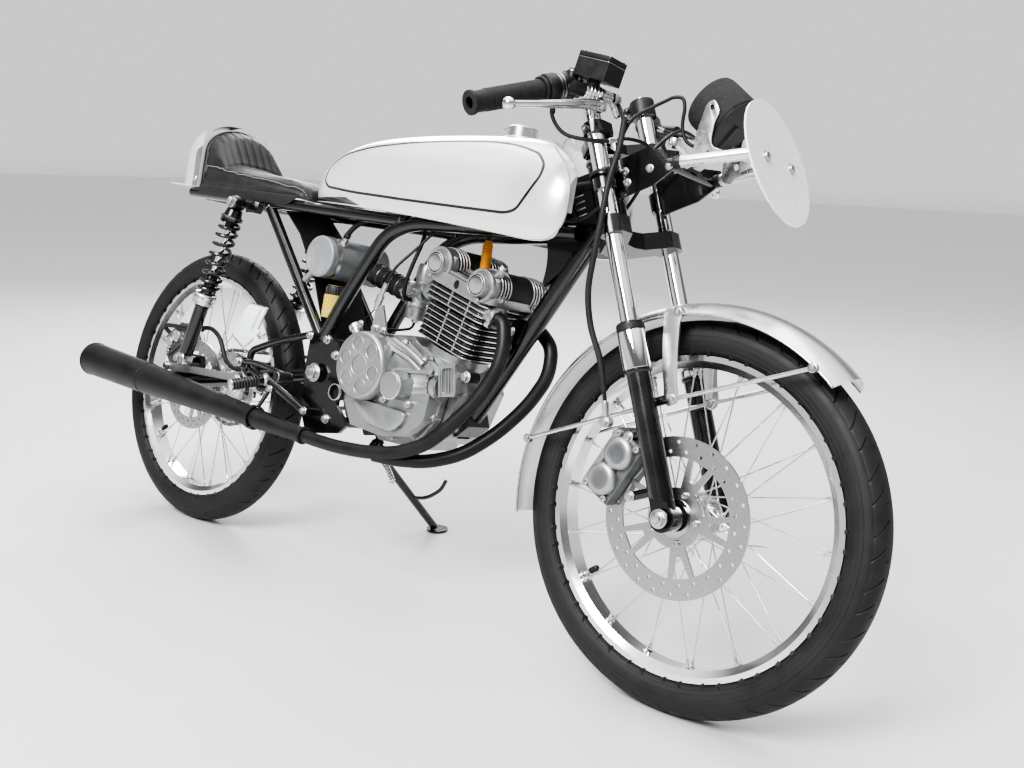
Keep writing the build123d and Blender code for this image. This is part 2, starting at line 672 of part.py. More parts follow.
def pivot_plates():
    shape = pivot_plate(-FRAME_HALF) + pivot_plate(FRAME_HALF)
    for place in (LOW_CROSS, HIGH_CROSS):
        shape += cross_tube(place, place[2])
    shape += rod(Vector(PIVOT[0], -FRAME_HALF - 14, PIVOT[1]), Vector(PIVOT[0], FRAME_HALF + 14, PIVOT[1]), 8)
    for y in (-FRAME_HALF - 8, FRAME_HALF + 8):
        out = math.copysign(1.0, y)
        shape += rod(Vector(PIVOT[0], y - out * 4, PIVOT[1]), Vector(PIVOT[0], y + out * 5, PIVOT[1]), 13)
    return shape


node("pivot_plates", pivot_plates())


def swingarm():
    """Two arms on a pivot tube, with end plates for the rear axle and lugs for the shocks."""
    shape = None
    inner = FRAME_HALF - PLATE_THICK / 2 - GAP
    pivot_tube = rod(Vector(PIVOT[0], -inner, PIVOT[1]), Vector(PIVOT[0], inner, PIVOT[1]), 17)
    for out in (-1, 1):
        front = Vector(PIVOT[0] - 6, out * 56, PIVOT[1])
        bend = Vector(330, out * 60, 360)
        spread = Vector(250, out * ARM_Y, 343)
        rear = Vector(18, out * ARM_Y, 296)
        arm = bent([front, bend, spread, rear], 13)
        end = slab([(40, 318), (40, 276), (-34, 270), (-46, 292), (-34, 312)], out * ARM_Y - 6, out * ARM_Y + 6)
        lug = slab([(78, 306), (66, 360), (34, 360), (26, 306)], out * ARM_Y - 6, out * ARM_Y + 6)
        stud = rod(Vector(50, out * ARM_Y, 350), Vector(50, out * 132, 350), 6)
        side = arm + end + lug + stud
        shape = side if shape is None else shape + side
    brace = rod(Vector(338, -60, 362), Vector(338, 60, 362), 12)
    shape = shape + pivot_tube + brace
    shape -= rod(Vector(PIVOT[0], -200, PIVOT[1]), Vector(PIVOT[0], 200, PIVOT[1]), 8.2)
    return shape - rod(Vector(0, -200, TYRE_RADIUS), Vector(0, 200, TYRE_RADIUS), AXLE_RADIUS + 0.05)


node("swingarm", swingarm())


def rear_axle():
    shape = rod(Vector(0, -REAR_AXLE_HALF, TYRE_RADIUS), Vector(0, REAR_AXLE_HALF, TYRE_RADIUS), AXLE_RADIUS)
    face = ARM_Y - 6 - 0.2
    for y0, y1 in ((-face, REAR_DISC_Y - 6 - 0.5), (CHAIN_Y + 8 + 0.5, face)):
        shape += rod(Vector(0, y0, TYRE_RADIUS), Vector(0, y1, TYRE_RADIUS), 13)
    for out in (-1, 1):
        start = out * (ARM_Y + 6 + 0.2)
        shape += rod(Vector(0, start, TYRE_RADIUS), Vector(0, start + out * 9, TYRE_RADIUS), 12)
    return shape


node("rear_axle", rear_axle())

SHOCK_Y = 116.0
SHOCK_TOP = (150.0, 681.0)
SHOCK_LOW = (50.0, 350.0)
SHOCK_RADIUS = 14.0


def shock_body(y):
    """Damper with an eye at each end and the spring's collars."""
    top, low = Vector(SHOCK_TOP[0], y, SHOCK_TOP[1]), Vector(SHOCK_LOW[0], y, SHOCK_LOW[1])
    way = (top - low).normalized()
    shape = rod(low + way * 8, low + way * 190, SHOCK_RADIUS) + rod(low + way * 100, top - way * 8, 6)
    for eye in (top, low):
        shape += rod(eye + Vector(0, -12, 0), eye + Vector(0, 12, 0), 13)
    shape += rod(low + way * 124, low + way * 148, 23)
    shape += rod(top - way * 36, top - way * 18, 21)
    for eye in (top, low):
        shape -= rod(eye + Vector(0, -13, 0), eye + Vector(0, 13, 0), 6.2)
    return shape


def shock_spring(y):
    """The spring's sleeve, with its inner and outer size."""
    top, low = Vector(SHOCK_TOP[0], y, SHOCK_TOP[1]), Vector(SHOCK_LOW[0], y, SHOCK_LOW[1])
    way = (top - low).normalized()
    return rod(low + way * 148.2, top - way * 36.2, 23, SHOCK_RADIUS + 2)


node("shock_absorbers", *[shape(y) for y in (-SHOCK_Y, SHOCK_Y) for shape in (shock_body, shock_spring)])

# Engine
CASE_HALF = 66.0
HEAD_FACE = 148.0
PORT_Y = 46.0


def crankcase():
    """Unit crankcase and gearbox: one heavy block with its real outline."""
    outline = [(470, 400), (484, 446), (560, 474), (640, 482), (664, 466), (752, 440), (772, 404),
               (764, 380), (744, 318), (700, 300), (560, 296), (500, 312), (480, 350)]
    case = slab(outline, -CASE_HALF + 8, CASE_HALF - 8)
    sump = slab([(560, 300), (700, 304), (690, 286), (580, 284)], -44, 44)
    deck = rod(engine(40, 0), engine(76, 0), 56)
    shape = case + sump + deck
    shape -= rod(DOWN_TOP, DOWN_LOW + (DOWN_LOW - DOWN_TOP).normalized() * 30, DOWN_TUBE + 1)
    shape -= slab([(790, 372), (738, 388.5), (715.5, 352), (715.5, 321), (790, 321)], -28.3, 28.3)
    shape -= slab([(440, 318), (440, 452), (566, 452), (566, 318)], CHAIN_Y - 9, CASE_HALF)
    sprocket = rod(Vector(CHAIN_FRONT[0], CHAIN_Y - 9.2, CHAIN_FRONT[1]),
                   Vector(CHAIN_FRONT[0], CASE_HALF - 8, CHAIN_FRONT[1]), FRONT_SPROCKET_RADIUS)
    return shape + sprocket


node("crankcase", crankcase())


def cylinder():
    """Air-cooled barrel: liner block with its cooling fins."""
    base = Plane(origin=engine(76.2, 0), x_dir=engine(0, 1) - engine(0, 0), z_dir=engine(1, 0) - engine(0, 0))
    shape = extrude(base * RectangleRounded(100, 96, 20), HEAD_FACE - 76.4)
    for k in range(7):
        fin = Plane(origin=engine(82 + 9.4 * k, 0), x_dir=base.x_dir, z_dir=base.z_dir)
        shape += extrude(fin * RectangleRounded(132, 124, 18), 2.6)
    return shape


node("cylinder", cylinder())


def cylinder_head():
    """Finned head with two cam boxes and their round end caps."""
    up = engine(1, 0) - engine(0, 0)
    across = engine(0, 1) - engine(0, 0)
    base = Plane(origin=engine(HEAD_FACE, 0), x_dir=across, z_dir=up)
    shape = extrude(base * RectangleRounded(112, 110, 18), 60)
    for k in range(4):
        fin = Plane(origin=engine(HEAD_FACE + 3 + 9.4 * k, 0), x_dir=across, z_dir=up)
        shape += extrude(fin * RectangleRounded(148, 136, 18), 2.6)
    deck = Plane(origin=engine(HEAD_FACE + 40, 0), x_dir=across, z_dir=up)
    shape += extrude(deck * RectangleRounded(160, 150, 18), 22)
    for n in (-52.5, 52.5):
        shape += rod(engine(212, n, -76), engine(212, n, 76), 29)
        shape += rod(engine(212, n, -86), engine(212, n, 86), 18)
    for y in (-PORT_Y, PORT_Y):
        shape += rod(engine(170, 60, y), engine(170, 84, y), 15)
    return shape + rod(engine(186, -60), engine(186, -84), 19)


node("cylinder_head", cylinder_head())


CLUTCH_ARM = Vector(545, -97, 486)


def clutch_cover():
    """Right-hand cover with the round clutch housing and the crank-end drum."""
    outline = [(528, 410), (536, 446), (570, 474), (640, 470), (720, 428), (742, 400), (736, 344),
               (700, 310), (640, 300), (560, 306), (532, 350)]
    shape = slab(outline, -100, -CASE_HALF + 7.8)
    shape += rod(Vector(591, -100, 416), Vector(591, -124, 416), 60)
    shape += rod(Vector(591, -122, 416), Vector(591, -130, 416), 55)
    shape += rod(Vector(681, -100, 395), Vector(681, -135, 395), 17)
    shape += rod(Vector(550, -84, 444), Vector(523, -84, 472), 10) + rod(Vector(524, -84, 471), CLUTCH_ARM, 4)
    shape += rod(Vector(686, -82, 391), Vector(752, -82, 404), 20) + rod(Vector(742, -82, 402), Vector(750, -82, 403.6), 23)
    for k in range(6):
        a = math.radians(60 * k + 15)
        x, z = 591 + 36 * math.cos(a), 416 + 36 * math.sin(a)
        shape -= rod(Vector(x, -131, z), Vector(x, -127, z), 10)
    return shape - rod(Vector(591, -131, 416), Vector(591, -127, 416), 14)


node("clutch_cover", clutch_cover())


def generator_cover():
    """Left-hand covers over the generator and the front sprocket."""
    drum = rod(Vector(684, CASE_HALF - 7.8, 395), Vector(684, 96, 395), 52)
    drum += rod(Vector(684, 95, 395), Vector(684, 102, 395), 44)
    cover = slab([(500, 420), (520, 446), (580, 452), (646, 430), (646, 340), (560, 318), (505, 344)],
                 CASE_HALF - 7.8, 74)
    return drum + cover


node("generator_cover", generator_cover())


def carburettor():
    """Body, float bowl and the rubber stubs towards the head and the air canister."""
    body = rod(Vector(604, 0, 562), Vector(566, 0, 556), 22)
    slide = rod(Vector(588, 0, 560), Vector(594, 0, 612), 17)
    bowl = rod(Vector(584, 0, 552), Vector(581, 0, 510), 21)
    intake = rod(engine(186, -84.2), Vector(604, 0, 562), 18)
    boot = rod(Vector(566, 0, 556), Vector(415, 0, 595), 20)
    head_side = Plane(origin=engine(186, -84.2), z_dir=engine(0, 1) - engine(0, 0))
    intake -= extrude(head_side * Rectangle(90, 90), 60)
    return body + slide + bowl + intake + boot


AIR_CENTRE = (394.0, 598.0)
AIR_RADIUS = 39.0
air_core = rod(Vector(AIR_CENTRE[0], -90, AIR_CENTRE[1]), Vector(AIR_CENTRE[0], 56, AIR_CENTRE[1]), AIR_RADIUS)
diagonal_foot = Vector(331.7, -72, 541.8) - Vector(AIR_CENTRE[0], -72, AIR_CENTRE[1])
air_core += rod(Vector(AIR_CENTRE[0], -72, AIR_CENTRE[1]),
                Vector(AIR_CENTRE[0], -72, AIR_CENTRE[1]) + diagonal_foot.normalized() * 72.5, 6)
air_space = rod((AIR_CENTRE[0], -95, AIR_CENTRE[1]), (AIR_CENTRE[0], 95, AIR_CENTRE[1]), AIR_RADIUS + 0.2)
node("carburettor", carburettor() - air_space)
node("air_canister", air_core)

BOTTLE = (410.0, -52.0)
node("catch_bottle", rod(Vector(BOTTLE[0], BOTTLE[1], 486), Vector(BOTTLE[0], BOTTLE[1], 530), 20)
     + rod(Vector(BOTTLE[0], BOTTLE[1], 529), Vector(BOTTLE[0], BOTTLE[1], 548), 16))

# Foot rest brackets and exhaust
FOOT_LOOP = [(416, 97, 450), (330, 106, 425), (258, 110, 396), (262, 110, 362), (340, 107, 342), (430, 97, 306)]
FOOT_TUBE = 7.0


def foot_loop(out, radius):
    return bent([Vector(x, out * y, z) for x, y, z in FOOT_LOOP], radius)


PIPE_RADIUS = 12.0
JOINT = (466.0, -130.0, 268.0)
port_near, port_far = engine(170, 84.2, -PORT_Y), engine(170, 84.2, PORT_Y)
near_pipe = [port_near, engine(169, 103, -PORT_Y), (842, -50, 494), (842, -55, 455), (822, -66, 400),
             (790, -82, 352), (750, -98, 306), (700, -112, 281), (640, -121, 270), (570, -126, 265),
             (518, -128.4, 265.3), JOINT]
far_pipe = [port_far, engine(168, 112, PORT_Y), (870, 45, 500), (876, 40, 452), (850, 30, 396),
            (812, 4, 338), (776, -36, 294), (734, -76, 273), (692, -103, 268), (650, -117, 268)]


def exhaust_headers():
    port_face = Plane(origin=engine(170, 84.2), z_dir=engine(0, -1) - engine(0, 0))
    return bent(near_pipe, PIPE_RADIUS) + bent(far_pipe, PIPE_RADIUS) - extrude(port_face * Rectangle(160, 160), 40)


node("exhaust_headers", exhaust_headers())

MEGAPHONE_END = (-232.0, -152.0, 305.0)
MEGAPHONE_WALL = 2.0


def megaphone():
    """Tapered open silencer with a slip joint on the header."""
    a, b = Vector(*JOINT), Vector(*MEGAPHONE_END)
    way = (b - a).normalized()
    start = a - way * 12
    plane = Plane(origin=start, z_dir=way)
    length = (b - start).length
    outer = [(0, PIPE_RADIUS + 3), (26, PIPE_RADIUS + 3), (length * 0.72, 33), (length, 36)]
    profile = [(PIPE_RADIUS + 0.2, 0), (outer[0][1], 0), (outer[1][1], outer[1][0]), (outer[2][1], outer[2][0]),
               (outer[3][1], outer[3][0]), (outer[3][1] - MEGAPHONE_WALL, outer[3][0]),
               (outer[2][1] - MEGAPHONE_WALL, outer[2][0]), (PIPE_RADIUS + 0.2, 28)]
    face = make_face(Plane.XZ * Polyline(*profile, close=True))
    turned = revolve(face, Axis.Z, 360)
    return plane.location * turned


node("megaphone", megaphone())


def silencer_hanger():
    """Band round the silencer with a strut up to the foot rest bracket."""
    a, b = Vector(*JOINT), Vector(*MEGAPHONE_END)
    way = (b - a).normalized()
    at = a + way * 136
    band = rod(at - way * 6, at + way * 6, 23.5, 20.9)
    strut = rod(at + Vector(0, 6, 20), Vector(336, -108, 336), 4)
    eye = rod(Vector(336, -112, 333), Vector(336, -104, 333), 8)
    return band + strut + eye - rod(at - way * 8, at + way * 8, 20.9) - foot_loop(-1.0, FOOT_TUBE + 0.2)


node("silencer_hanger", silencer_hanger())

# Fuel tank, seat and tail
TANK_ROWS = [
    # x, bottom, top, half width
    (316, 704, 756, 50),
    (334, 703, 784, 66),
    (366, 701, 806, 78),
    (412, 698, 823, 89),
    (480, 695, 836, 98),
    (570, 690, 843, 106),
    (680, 682, 846, 112),
    (790, 673, 845, 115),
    (860, 667, 840, 114),
    (910, 665, 828, 109),
    (938, 672, 812, 102),
    (953, 700, 792, 93),
]
TANK_CURVE = ((0.90, 0.0), (0.985, 0.16), (1.0, 0.38), (0.93, 0.66), (0.70, 0.88), (0.36, 0.975))
CAP = (764.0, 843.0)
CAP_RADIUS = 27.0
HORSESHOE_RADIUS = 74.0
TUNNEL_HALF = 24.0


def cross_plane(x):
    return Plane(origin=(x, 0, 0), x_dir=(0, 1, 0), z_dir=(1, 0, 0))


def tank_section(row):
    """A flat-bottomed section that swells above the seam and rounds over on top."""
    x, low, top, half = row
    right = [(half * a, low + (top - low) * b) for a, b in TANK_CURVE]
    left = [(-a, b) for a, b in reversed(right)]
    with BuildSketch(cross_plane(x)) as sketch:
        with BuildLine():
            Line(left[-1], right[0])
            Spline(*right, (0, top), *left)
        make_face()
    return sketch.sketch


def fuel_tank():
    """Long tank with a horseshoe front around the steering head and a tunnel over the backbone."""
    shape = loft([tank_section(row) for row in TANK_ROWS])
    shape -= slab([(300, 600), (300, 712), (1000, 714), (1000, 600)], -FRAME_HALF - 16, FRAME_HALF + 16)
    shape -= slab([(530, 600), (530, 724), (990, 795.4), (990, 600)], -TUNNEL_HALF, TUNNEL_HALF)
    shape -= rod(steer(400, 0), steer(700, 0), HORSESHOE_RADIUS)
    shape -= slab([(930, 600), (930, 900), (1000, 900), (1000, 600)], -HORSESHOE_RADIUS, HORSESHOE_RADIUS)
    shape -= rod(Vector(CAP[0], 0, CAP[1] - 0.3), Vector(CAP[0], 0, CAP[1] + 40), CAP_RADIUS + 0.3)
    for y in (-70, 70):
        shape += Pos(640, y, 705) * Box(40, 16, 25)
    return shape - bent(main_path(-FRAME_HALF), MAIN_TUBE + 0.3) - bent(main_path(FRAME_HALF), MAIN_TUBE + 0.3)


node("fuel_tank", fuel_tank())
node("fuel_cap", rod(Vector(CAP[0], 0, CAP[1]), Vector(CAP[0], 0, CAP[1] + 20), CAP_RADIUS))

SEAT_FRONT = 312.0
SEAT_BACK = -34.0
PAN_THICK = 2.5
PAD_ROWS = [
    # x, half width, height of the side, height of the middle
    (SEAT_FRONT, 66, 722, 727),
    (296, 82, 728, 732),
    (220, 90, 736, 742),
    (120, 93, 744, 752),
    (28, 92, 752, 766),
]
HUMP_ROWS = [
    (40, 86, 752, 768),
    (22, 90, 770, 806),
    (0, 92, 788, 838),
    (SEAT_BACK, 92, 796, 859),
]
TAIL_ROWS = [
    (SEAT_BACK - GAP, 92, 796, 858),
    (-80, 84, 780, 843),
    (-120, 68, 762, 812),
    (-150, 46, 742, 774),
    (-167, 22, 726, 738),
]


def seat_low(x):
    """The level of the seat's underside, along the rails."""
    return 713.3 - 0.03433 * (x + 70)


def hoop(x, half, side, top, low):
    """A section with upright sides and an arched top."""
    rise = top - side
    with BuildSketch(cross_plane(x)) as sketch:
        with BuildLine():
            Line((-half, low), (half, low))
            Line((half, low), (half, side))
            Spline((half, side), (0.8 * half, side + 0.62 * rise), (0, top), (-0.8 * half, side + 0.62 * rise),
                   (-half, side), tangents=[(0, 1), (0, -1)])
            Line((-half, side), (-half, low))
        make_face()
    return sketch.sketch


def seat_pad():
    """Cushion and raised back rest, as one plain closed solid."""
    pad = loft([hoop(*row, seat_low(row[0]) + PAN_THICK + GAP) for row in PAD_ROWS])
    hump = loft([hoop(*row, seat_low(row[0]) + PAN_THICK + GAP) for row in HUMP_ROWS])
    return pad + hump


def tail_cowl():
    """Rounded tail behind the back rest, in one piece with the flat pan under the cushion."""
    shape = loft([hoop(*row, seat_low(row[0]) + 1) for row in TAIL_ROWS])
    low = [(SEAT_FRONT, seat_low(SEAT_FRONT)), (-150, seat_low(-150))]
    pan = slab([*low, (-150, seat_low(-150) + PAN_THICK), (SEAT_FRONT, seat_low(SEAT_FRONT) + PAN_THICK)], -88, 88)
    pan -= slab([(-140, 600), (-140, 900), (-200, 900), (-200, 600)], -100, 100)
    return shape + pan


node("seat_pad", seat_pad())
node("tail_cowl", tail_cowl())


# Brakes, foot rests and chain at the rear
def rear_caliper():
    centre = Vector(-66, REAR_DISC_Y, TYRE_RADIUS + 88)
    away = math.degrees(math.atan2(88, -66))
    place = Pos(centre.X, centre.Y, centre.Z) * Rot(0, -away + 90, 0)
    body = place * Box(70, 42, 44) - place * Pos(0, 0, -12) * Box(80, DISC_THICK + 3, 60)
    plate = slab([(-24, 280), (24, 280), (24, 304), (-34, 372), (-96, 344)], -66, -58)
    plate += rod(Vector(0, -66, TYRE_RADIUS), Vector(0, -58, TYRE_RADIUS), 24)
    plate -= rod(Vector(0, -70, TYRE_RADIUS), Vector(0, -50, TYRE_RADIUS), 13.2)
    return body + plate


node("rear_caliper", rear_caliper())


def rear_set(y):
    """Looped foot rest bracket bolted outside the pivot plate, with its peg."""
    out = math.copysign(1.0, y)
    loop = foot_loop(out, FOOT_TUBE)
    peg = rod(Vector(318, out * 104, 350), Vector(300, out * 176, 330), 9)
    plate_out = FRAME_HALF + PLATE_THICK / 2 + 0.2
    boss_a = rod(Vector(414, out * plate_out, 448), Vector(414, out * 99, 448), 9)
    boss_a -= rod(Vector(424, out * FRAME_HALF, 446), Vector(478, out * FRAME_HALF, 546), MAIN_TUBE + 0.3)
    boss_a -= rod(Vector(418, out * FRAME_HALF, 446), Vector(196, out * FRAME_HALF, 692), MAIN_TUBE + 0.3)
    boss_b = rod(Vector(428, out * plate_out, 307), Vector(428, out * 99, 307), 9)
    return loop + peg + boss_a + boss_b


def chain():
    """Drive chain as one fixed band round both sprockets."""
    x2, z2 = CHAIN_FRONT
    r1, r2 = SPROCKET_RADIUS + 0.6, FRONT_SPROCKET_RADIUS + 0.6
    thick = 9.0
    length = math.hypot(x2, z2 - TYRE_RADIUS)
    tilt = math.degrees(math.atan2(z2 - TYRE_RADIUS, x2))
    lean_in = math.degrees(math.asin((r1 - r2) / length))

    def outline(a, b):
        top1 = Vector(a * math.sin(math.radians(lean_in)), a * math.cos(math.radians(lean_in)))
        top2 = Vector(length + b * math.sin(math.radians(lean_in)), b * math.cos(math.radians(lean_in)))
        with BuildSketch() as sketch:
            with BuildLine():
                Line(top1, top2)
                ThreePointArc(top2, (length + b, 0), (top2.X, -top2.Y))
                Line((top2.X, -top2.Y), (top1.X, -top1.Y))
                ThreePointArc((top1.X, -top1.Y), (-a, 0), top1)
            make_face()
        return sketch.sketch

    band = outline(r1 + thick, r2 + thick) - outline(r1, r2)
    plane = Plane(origin=(0, CHAIN_Y + 3.5, TYRE_RADIUS), x_dir=(1, 0, 0), z_dir=(0, -1, 0))
    return extrude(plane * (Rot(0, 0, tilt) * band), 7)


node("drive_chain", chain())


def foot_controls():
    """Brake pedal on the right and gear lever on the left, both pivoting near the pegs."""
    levers = []
    for out in (-1, 1):
        boss = rod(Vector(250, out * 117.4, 372), Vector(250, out * 128, 372), 12)
        arm = bent([Vector(250, out * 123, 372), Vector(300, out * 128, 378), Vector(362, out * 134, 374),
                    Vector(420, out * 140, 366)], 5)
        toe = rod(Vector(418, out * 132, 366), Vector(418, out * 168, 364), 7)
        levers.append(boss + arm + toe)
    return levers


node("foot_controls", *foot_controls(), rear_set(-1.0), rear_set(1.0))


def torque_bar():
    """Flat bar that holds the rear caliper's plate to the right arm of the fork."""
    a, b = Vector(-30, -101.5, 325), Vector(217, -101.5, 335.8)
    half = 7.5
    bar = slab([(a.X, a.Z - half), (b.X, b.Z - half), (b.X, b.Z + half), (a.X, a.Z + half)], -101.5, -97)
    for end, reach in ((a, -66.2), (b, -95.2)):
        bar += rod(end, Vector(end.X, -97, end.Z), half + 1.5)
        bar += rod(Vector(end.X, -98, end.Z), Vector(end.X, reach, end.Z), 5)
    return bar


node("torque_bar", torque_bar())

HEEL_GUARD = [(180, 418), (219, 488), (278, 484), (257, 438), (288, 415), (280, 399), (229, 394)]
node("heel_guard", slab(HEEL_GUARD, -101.2, -98.4))


def cable_bracket():
    """Three-cornered plate on the clutch cover, with the clutch cable's adjuster in its top."""
    plate = slab([(571, 474.14), (611, 471.86), (606, 494), (592, 526), (576, 520), (573, 492)], -97, -93)
    top, low = Vector(589.5, -95, 565), Vector(573, -95, 517)
    barrel = rod(top, low, 4.5) + rod(top + (low - top) * 0.45, top + (low - top) * 0.8, 7)
    return plate + barrel - rod(top + (top - low), low + (low - top), 2.7)


node("cable_bracket", cable_bracket())

CABLE_RADIUS = 2.5
INNER_WIRE = 1.1
CLUTCH_CABLE = [(925, -36, 707), (862, -31, 708.5), (800, -37, 706), (738, -42, 703.5), (690, -46, 696),
                (651, -51, 674), (624, -73, 630), (602, -92, 595), (589.65, -95, 565.5)]
THROTTLE_CABLE = [(925, 36, 707), (862, 31, 708.5), (800, 36, 706), (740, 33, 703), (690, 24, 690),
                  (650, 12, 668), (620, 4, 646), (601, 0.5, 630), (594.5, 0, 612.5)]
wire = rod((573.5, -95, 518.5), CLUTCH_ARM + Vector(0.8, 0, 5), INNER_WIRE)
node("clutch_cable", bent(CLUTCH_CABLE, CABLE_RADIUS), wire)
node("throttle_cable", bent(THROTTLE_CABLE, CABLE_RADIUS))

TAP = (604.0, -32.0, 712.6)
HOSE_BORE = 3.8
FUEL_HOSE = [(604, -32, 680.0), (603, -35, 650), (595, -42, 612), (587, -46, 575), (583, -42, 548),
             (582.5, -22.6, 543)]
DRAIN_HOSE = [(581, 0, 508.8), (580, -5, 492), (568, -30, 485), (556, -54, 483)]
node("fuel_tap", rod(TAP, (TAP[0], TAP[1], 692), 8) + rod(TAP, (TAP[0], TAP[1], 680.8), 4.5)
     + rod((TAP[0], TAP[1], 702), (TAP[0], TAP[1] - 17, 702), 3.5))
node("fuel_hose", bent(FUEL_HOSE, HOSE_BORE), bent(DRAIN_HOSE, CABLE_RADIUS))


def inner_fender():
    """Splash guard between the rear diagonals."""
    outer = [(207.4, 697), (230, 688), (290, 640), (352, 560), (398, 470), (409.3, 446.7)]
    inner = [(x - 2.6, z - 2.2) for x, z in reversed(outer)]
    shape = slab(outer + inner, -FRAME_HALF + 16, FRAME_HALF - 16)
    return shape - cross_tube(SEAT_CROSS, RAIL_TUBE + GAP) - cross_tube(HIGH_CROSS, HIGH_CROSS[2] + GAP)


node("inner_fender", inner_fender())

# Side stand on the left
STAND_PIVOT = (424.0, 104.0, 238.0)
STAND_FOOT = (435.6, 315.6)
STAND_RADIUS = 8.5
STAND_STOWED = (-0.995, -0.03, 0.0)
GROUND = -TYRE_HALF_WIDTH * (1 - math.cos(math.radians(LEAN)))
UNLEAN = Rot(LEAN, 0, 0)
PAD_THICK = 5.0


def upright(point):
    """A point given in the parked attitude, in the upright frame."""
    return (UNLEAN * Pos(*point)).position


stand_end = upright((STAND_FOOT[0], STAND_FOOT[1], GROUND + PAD_THICK + STAND_RADIUS * 0.55))
stand_start = Vector(*STAND_PIVOT)
stand_down = (stand_end - stand_start).normalized()
STAND_AXIS = stand_down.cross(Vector(*STAND_STOWED)).normalized()
STAND_FOLD = stand_down.get_angle(Vector(*STAND_STOWED))


def side_stand():
    """Bent-down tube with a boss on its bolt, a ground pad and a tang for the rider's foot."""
    leg = rod(stand_start + stand_down * 2, stand_end, STAND_RADIUS)
    boss = rod(stand_start - STAND_AXIS * 7, stand_start + STAND_AXIS * 7, 15)
    pad = UNLEAN * Pos(STAND_FOOT[0] + 2, STAND_FOOT[1] + 8, GROUND + PAD_THICK / 2) * Cylinder(23, PAD_THICK)
    tang_at = stand_start + stand_down * 160
    tang = bent([tang_at, tang_at + Vector(34, 10, 6), tang_at + Vector(62, 18, 30), tang_at + Vector(70, 20, 52)], 4)
    shape = leg + boss + pad + tang
    for way in (-1, 1):
        shape -= rod(stand_start + STAND_AXIS * (way * 7), stand_start + STAND_AXIS * (way * 16), 17)
    return shape - rod(stand_start - STAND_AXIS * 9, stand_start + STAND_AXIS * 9, 6 + RUN)


def stand_bracket():
    """Fork end under the left pivot plate with the stand's bolt through it."""
    away = (stand_down + Vector(*STAND_STOWED)).normalized() * -1
    shape = rod(stand_start - STAND_AXIS * 15, stand_start + STAND_AXIS * 15, 6)
    for way in (-10.3, 10.3):
        plane = Plane(origin=stand_start + STAND_AXIS * (way - 2.8), x_dir=away, z_dir=STAND_AXIS)
        shape += extrude(plane * (Circle(15) + Pos(12, 0, 0) * Rectangle(28, 20)), 5.6)
    hold = stand_start + away * 21
    shape += rod(hold - STAND_AXIS * 13, hold + STAND_AXIS * 13, 5)
    shape += rod(hold + STAND_AXIS * 17, Vector(444, FRAME_HALF + PLATE_THICK / 2 + 4, 276), 8)
    return shape - slab([(300, 0), (300, 600), (600, 600), (600, 0)], 0, FRAME_HALF)


node("side_stand", side_stand())
NODES["pivot_plates"] = NODES["pivot_plates"] + stand_bracket()


def parked(shape):
    """Lean the machine onto its stand."""
    return Rot(-LEAN, 0, 0) * shape


def parking_shift():
    """Where the middle of the parked machine's footprint lies, and the level of the ground."""
    boxes = [parked(shape).bounding_box() for shape in NODES.values()]
    x = (min(box.min.X for box in boxes) + max(box.max.X for box in boxes)) / 2
    y = (min(box.min.Y for box in boxes) + max(box.max.Y for box in boxes)) / 2
    return Vector(-x, -y, -GROUND)


SHIFT = parking_shift()

if __name__ == "__main__":
    os.makedirs("parts", exist_ok=True)
    for name, shape in NODES.items():
        export_step(Pos(SHIFT) * parked(shape), f"parts/{name}.step")
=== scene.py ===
import json
from math import asin, atan2, cos, pi, radians, remainder, sin, sqrt

import bmesh
import bpy
from mathutils import Matrix, Vector
from mathutils.bvhtree import BVHTree
from mathutils.geometry import tessellate_polygon
from mathutils.kdtree import KDTree


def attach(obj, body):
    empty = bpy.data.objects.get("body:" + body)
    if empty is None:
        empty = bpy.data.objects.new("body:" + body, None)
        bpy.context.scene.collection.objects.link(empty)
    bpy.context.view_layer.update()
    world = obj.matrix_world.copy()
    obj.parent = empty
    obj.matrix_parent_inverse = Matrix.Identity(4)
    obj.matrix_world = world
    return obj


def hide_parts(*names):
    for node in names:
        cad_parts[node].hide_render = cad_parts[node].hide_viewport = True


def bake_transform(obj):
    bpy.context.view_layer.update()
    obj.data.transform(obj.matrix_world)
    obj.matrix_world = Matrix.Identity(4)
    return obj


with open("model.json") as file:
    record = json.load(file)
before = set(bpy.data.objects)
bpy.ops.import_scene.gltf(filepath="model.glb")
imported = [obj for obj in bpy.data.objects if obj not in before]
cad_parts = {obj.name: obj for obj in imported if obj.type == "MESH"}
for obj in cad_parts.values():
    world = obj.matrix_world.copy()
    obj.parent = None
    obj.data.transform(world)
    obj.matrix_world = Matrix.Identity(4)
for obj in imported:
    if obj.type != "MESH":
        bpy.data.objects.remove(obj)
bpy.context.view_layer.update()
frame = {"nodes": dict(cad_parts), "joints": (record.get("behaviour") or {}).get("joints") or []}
nodes = frame["nodes"]
joints = {joint["name"]: joint for joint in frame["joints"]}

# Driving sizes, in millimetres. The machine's upright frame has X forward, Y left and Z up, and the rear
# axle above X = 0.
WHEELBASE = 1215.0
TYRE_RADIUS = 292.0
SPOKES = 36
DISC_BOLTS = 5
RAKE = radians(23.35)
STEER_FOOT = (1172.8, 273.8)
LEG_FORWARD = 45.96
LEG_Y = 83.4
CRANK = (684.0, 395.0)
CYLINDER_TILT = radians(16.0)

rear_axle = Vector(joints["rear_wheel_spin"]["pos_m"])
wheel_axis = Vector(joints["rear_wheel_spin"]["axis"])
LEAN = atan2(-wheel_axis.z, wheel_axis.y)
UPRIGHT = (
    Matrix.Translation(rear_axle)
    @ Matrix.Rotation(-LEAN, 4, "X")
    @ Matrix.Scale(0.001, 4)
    @ Matrix.Translation((0, 0, -TYRE_RADIUS))
)
TO_UPRIGHT = UPRIGHT.inverted()


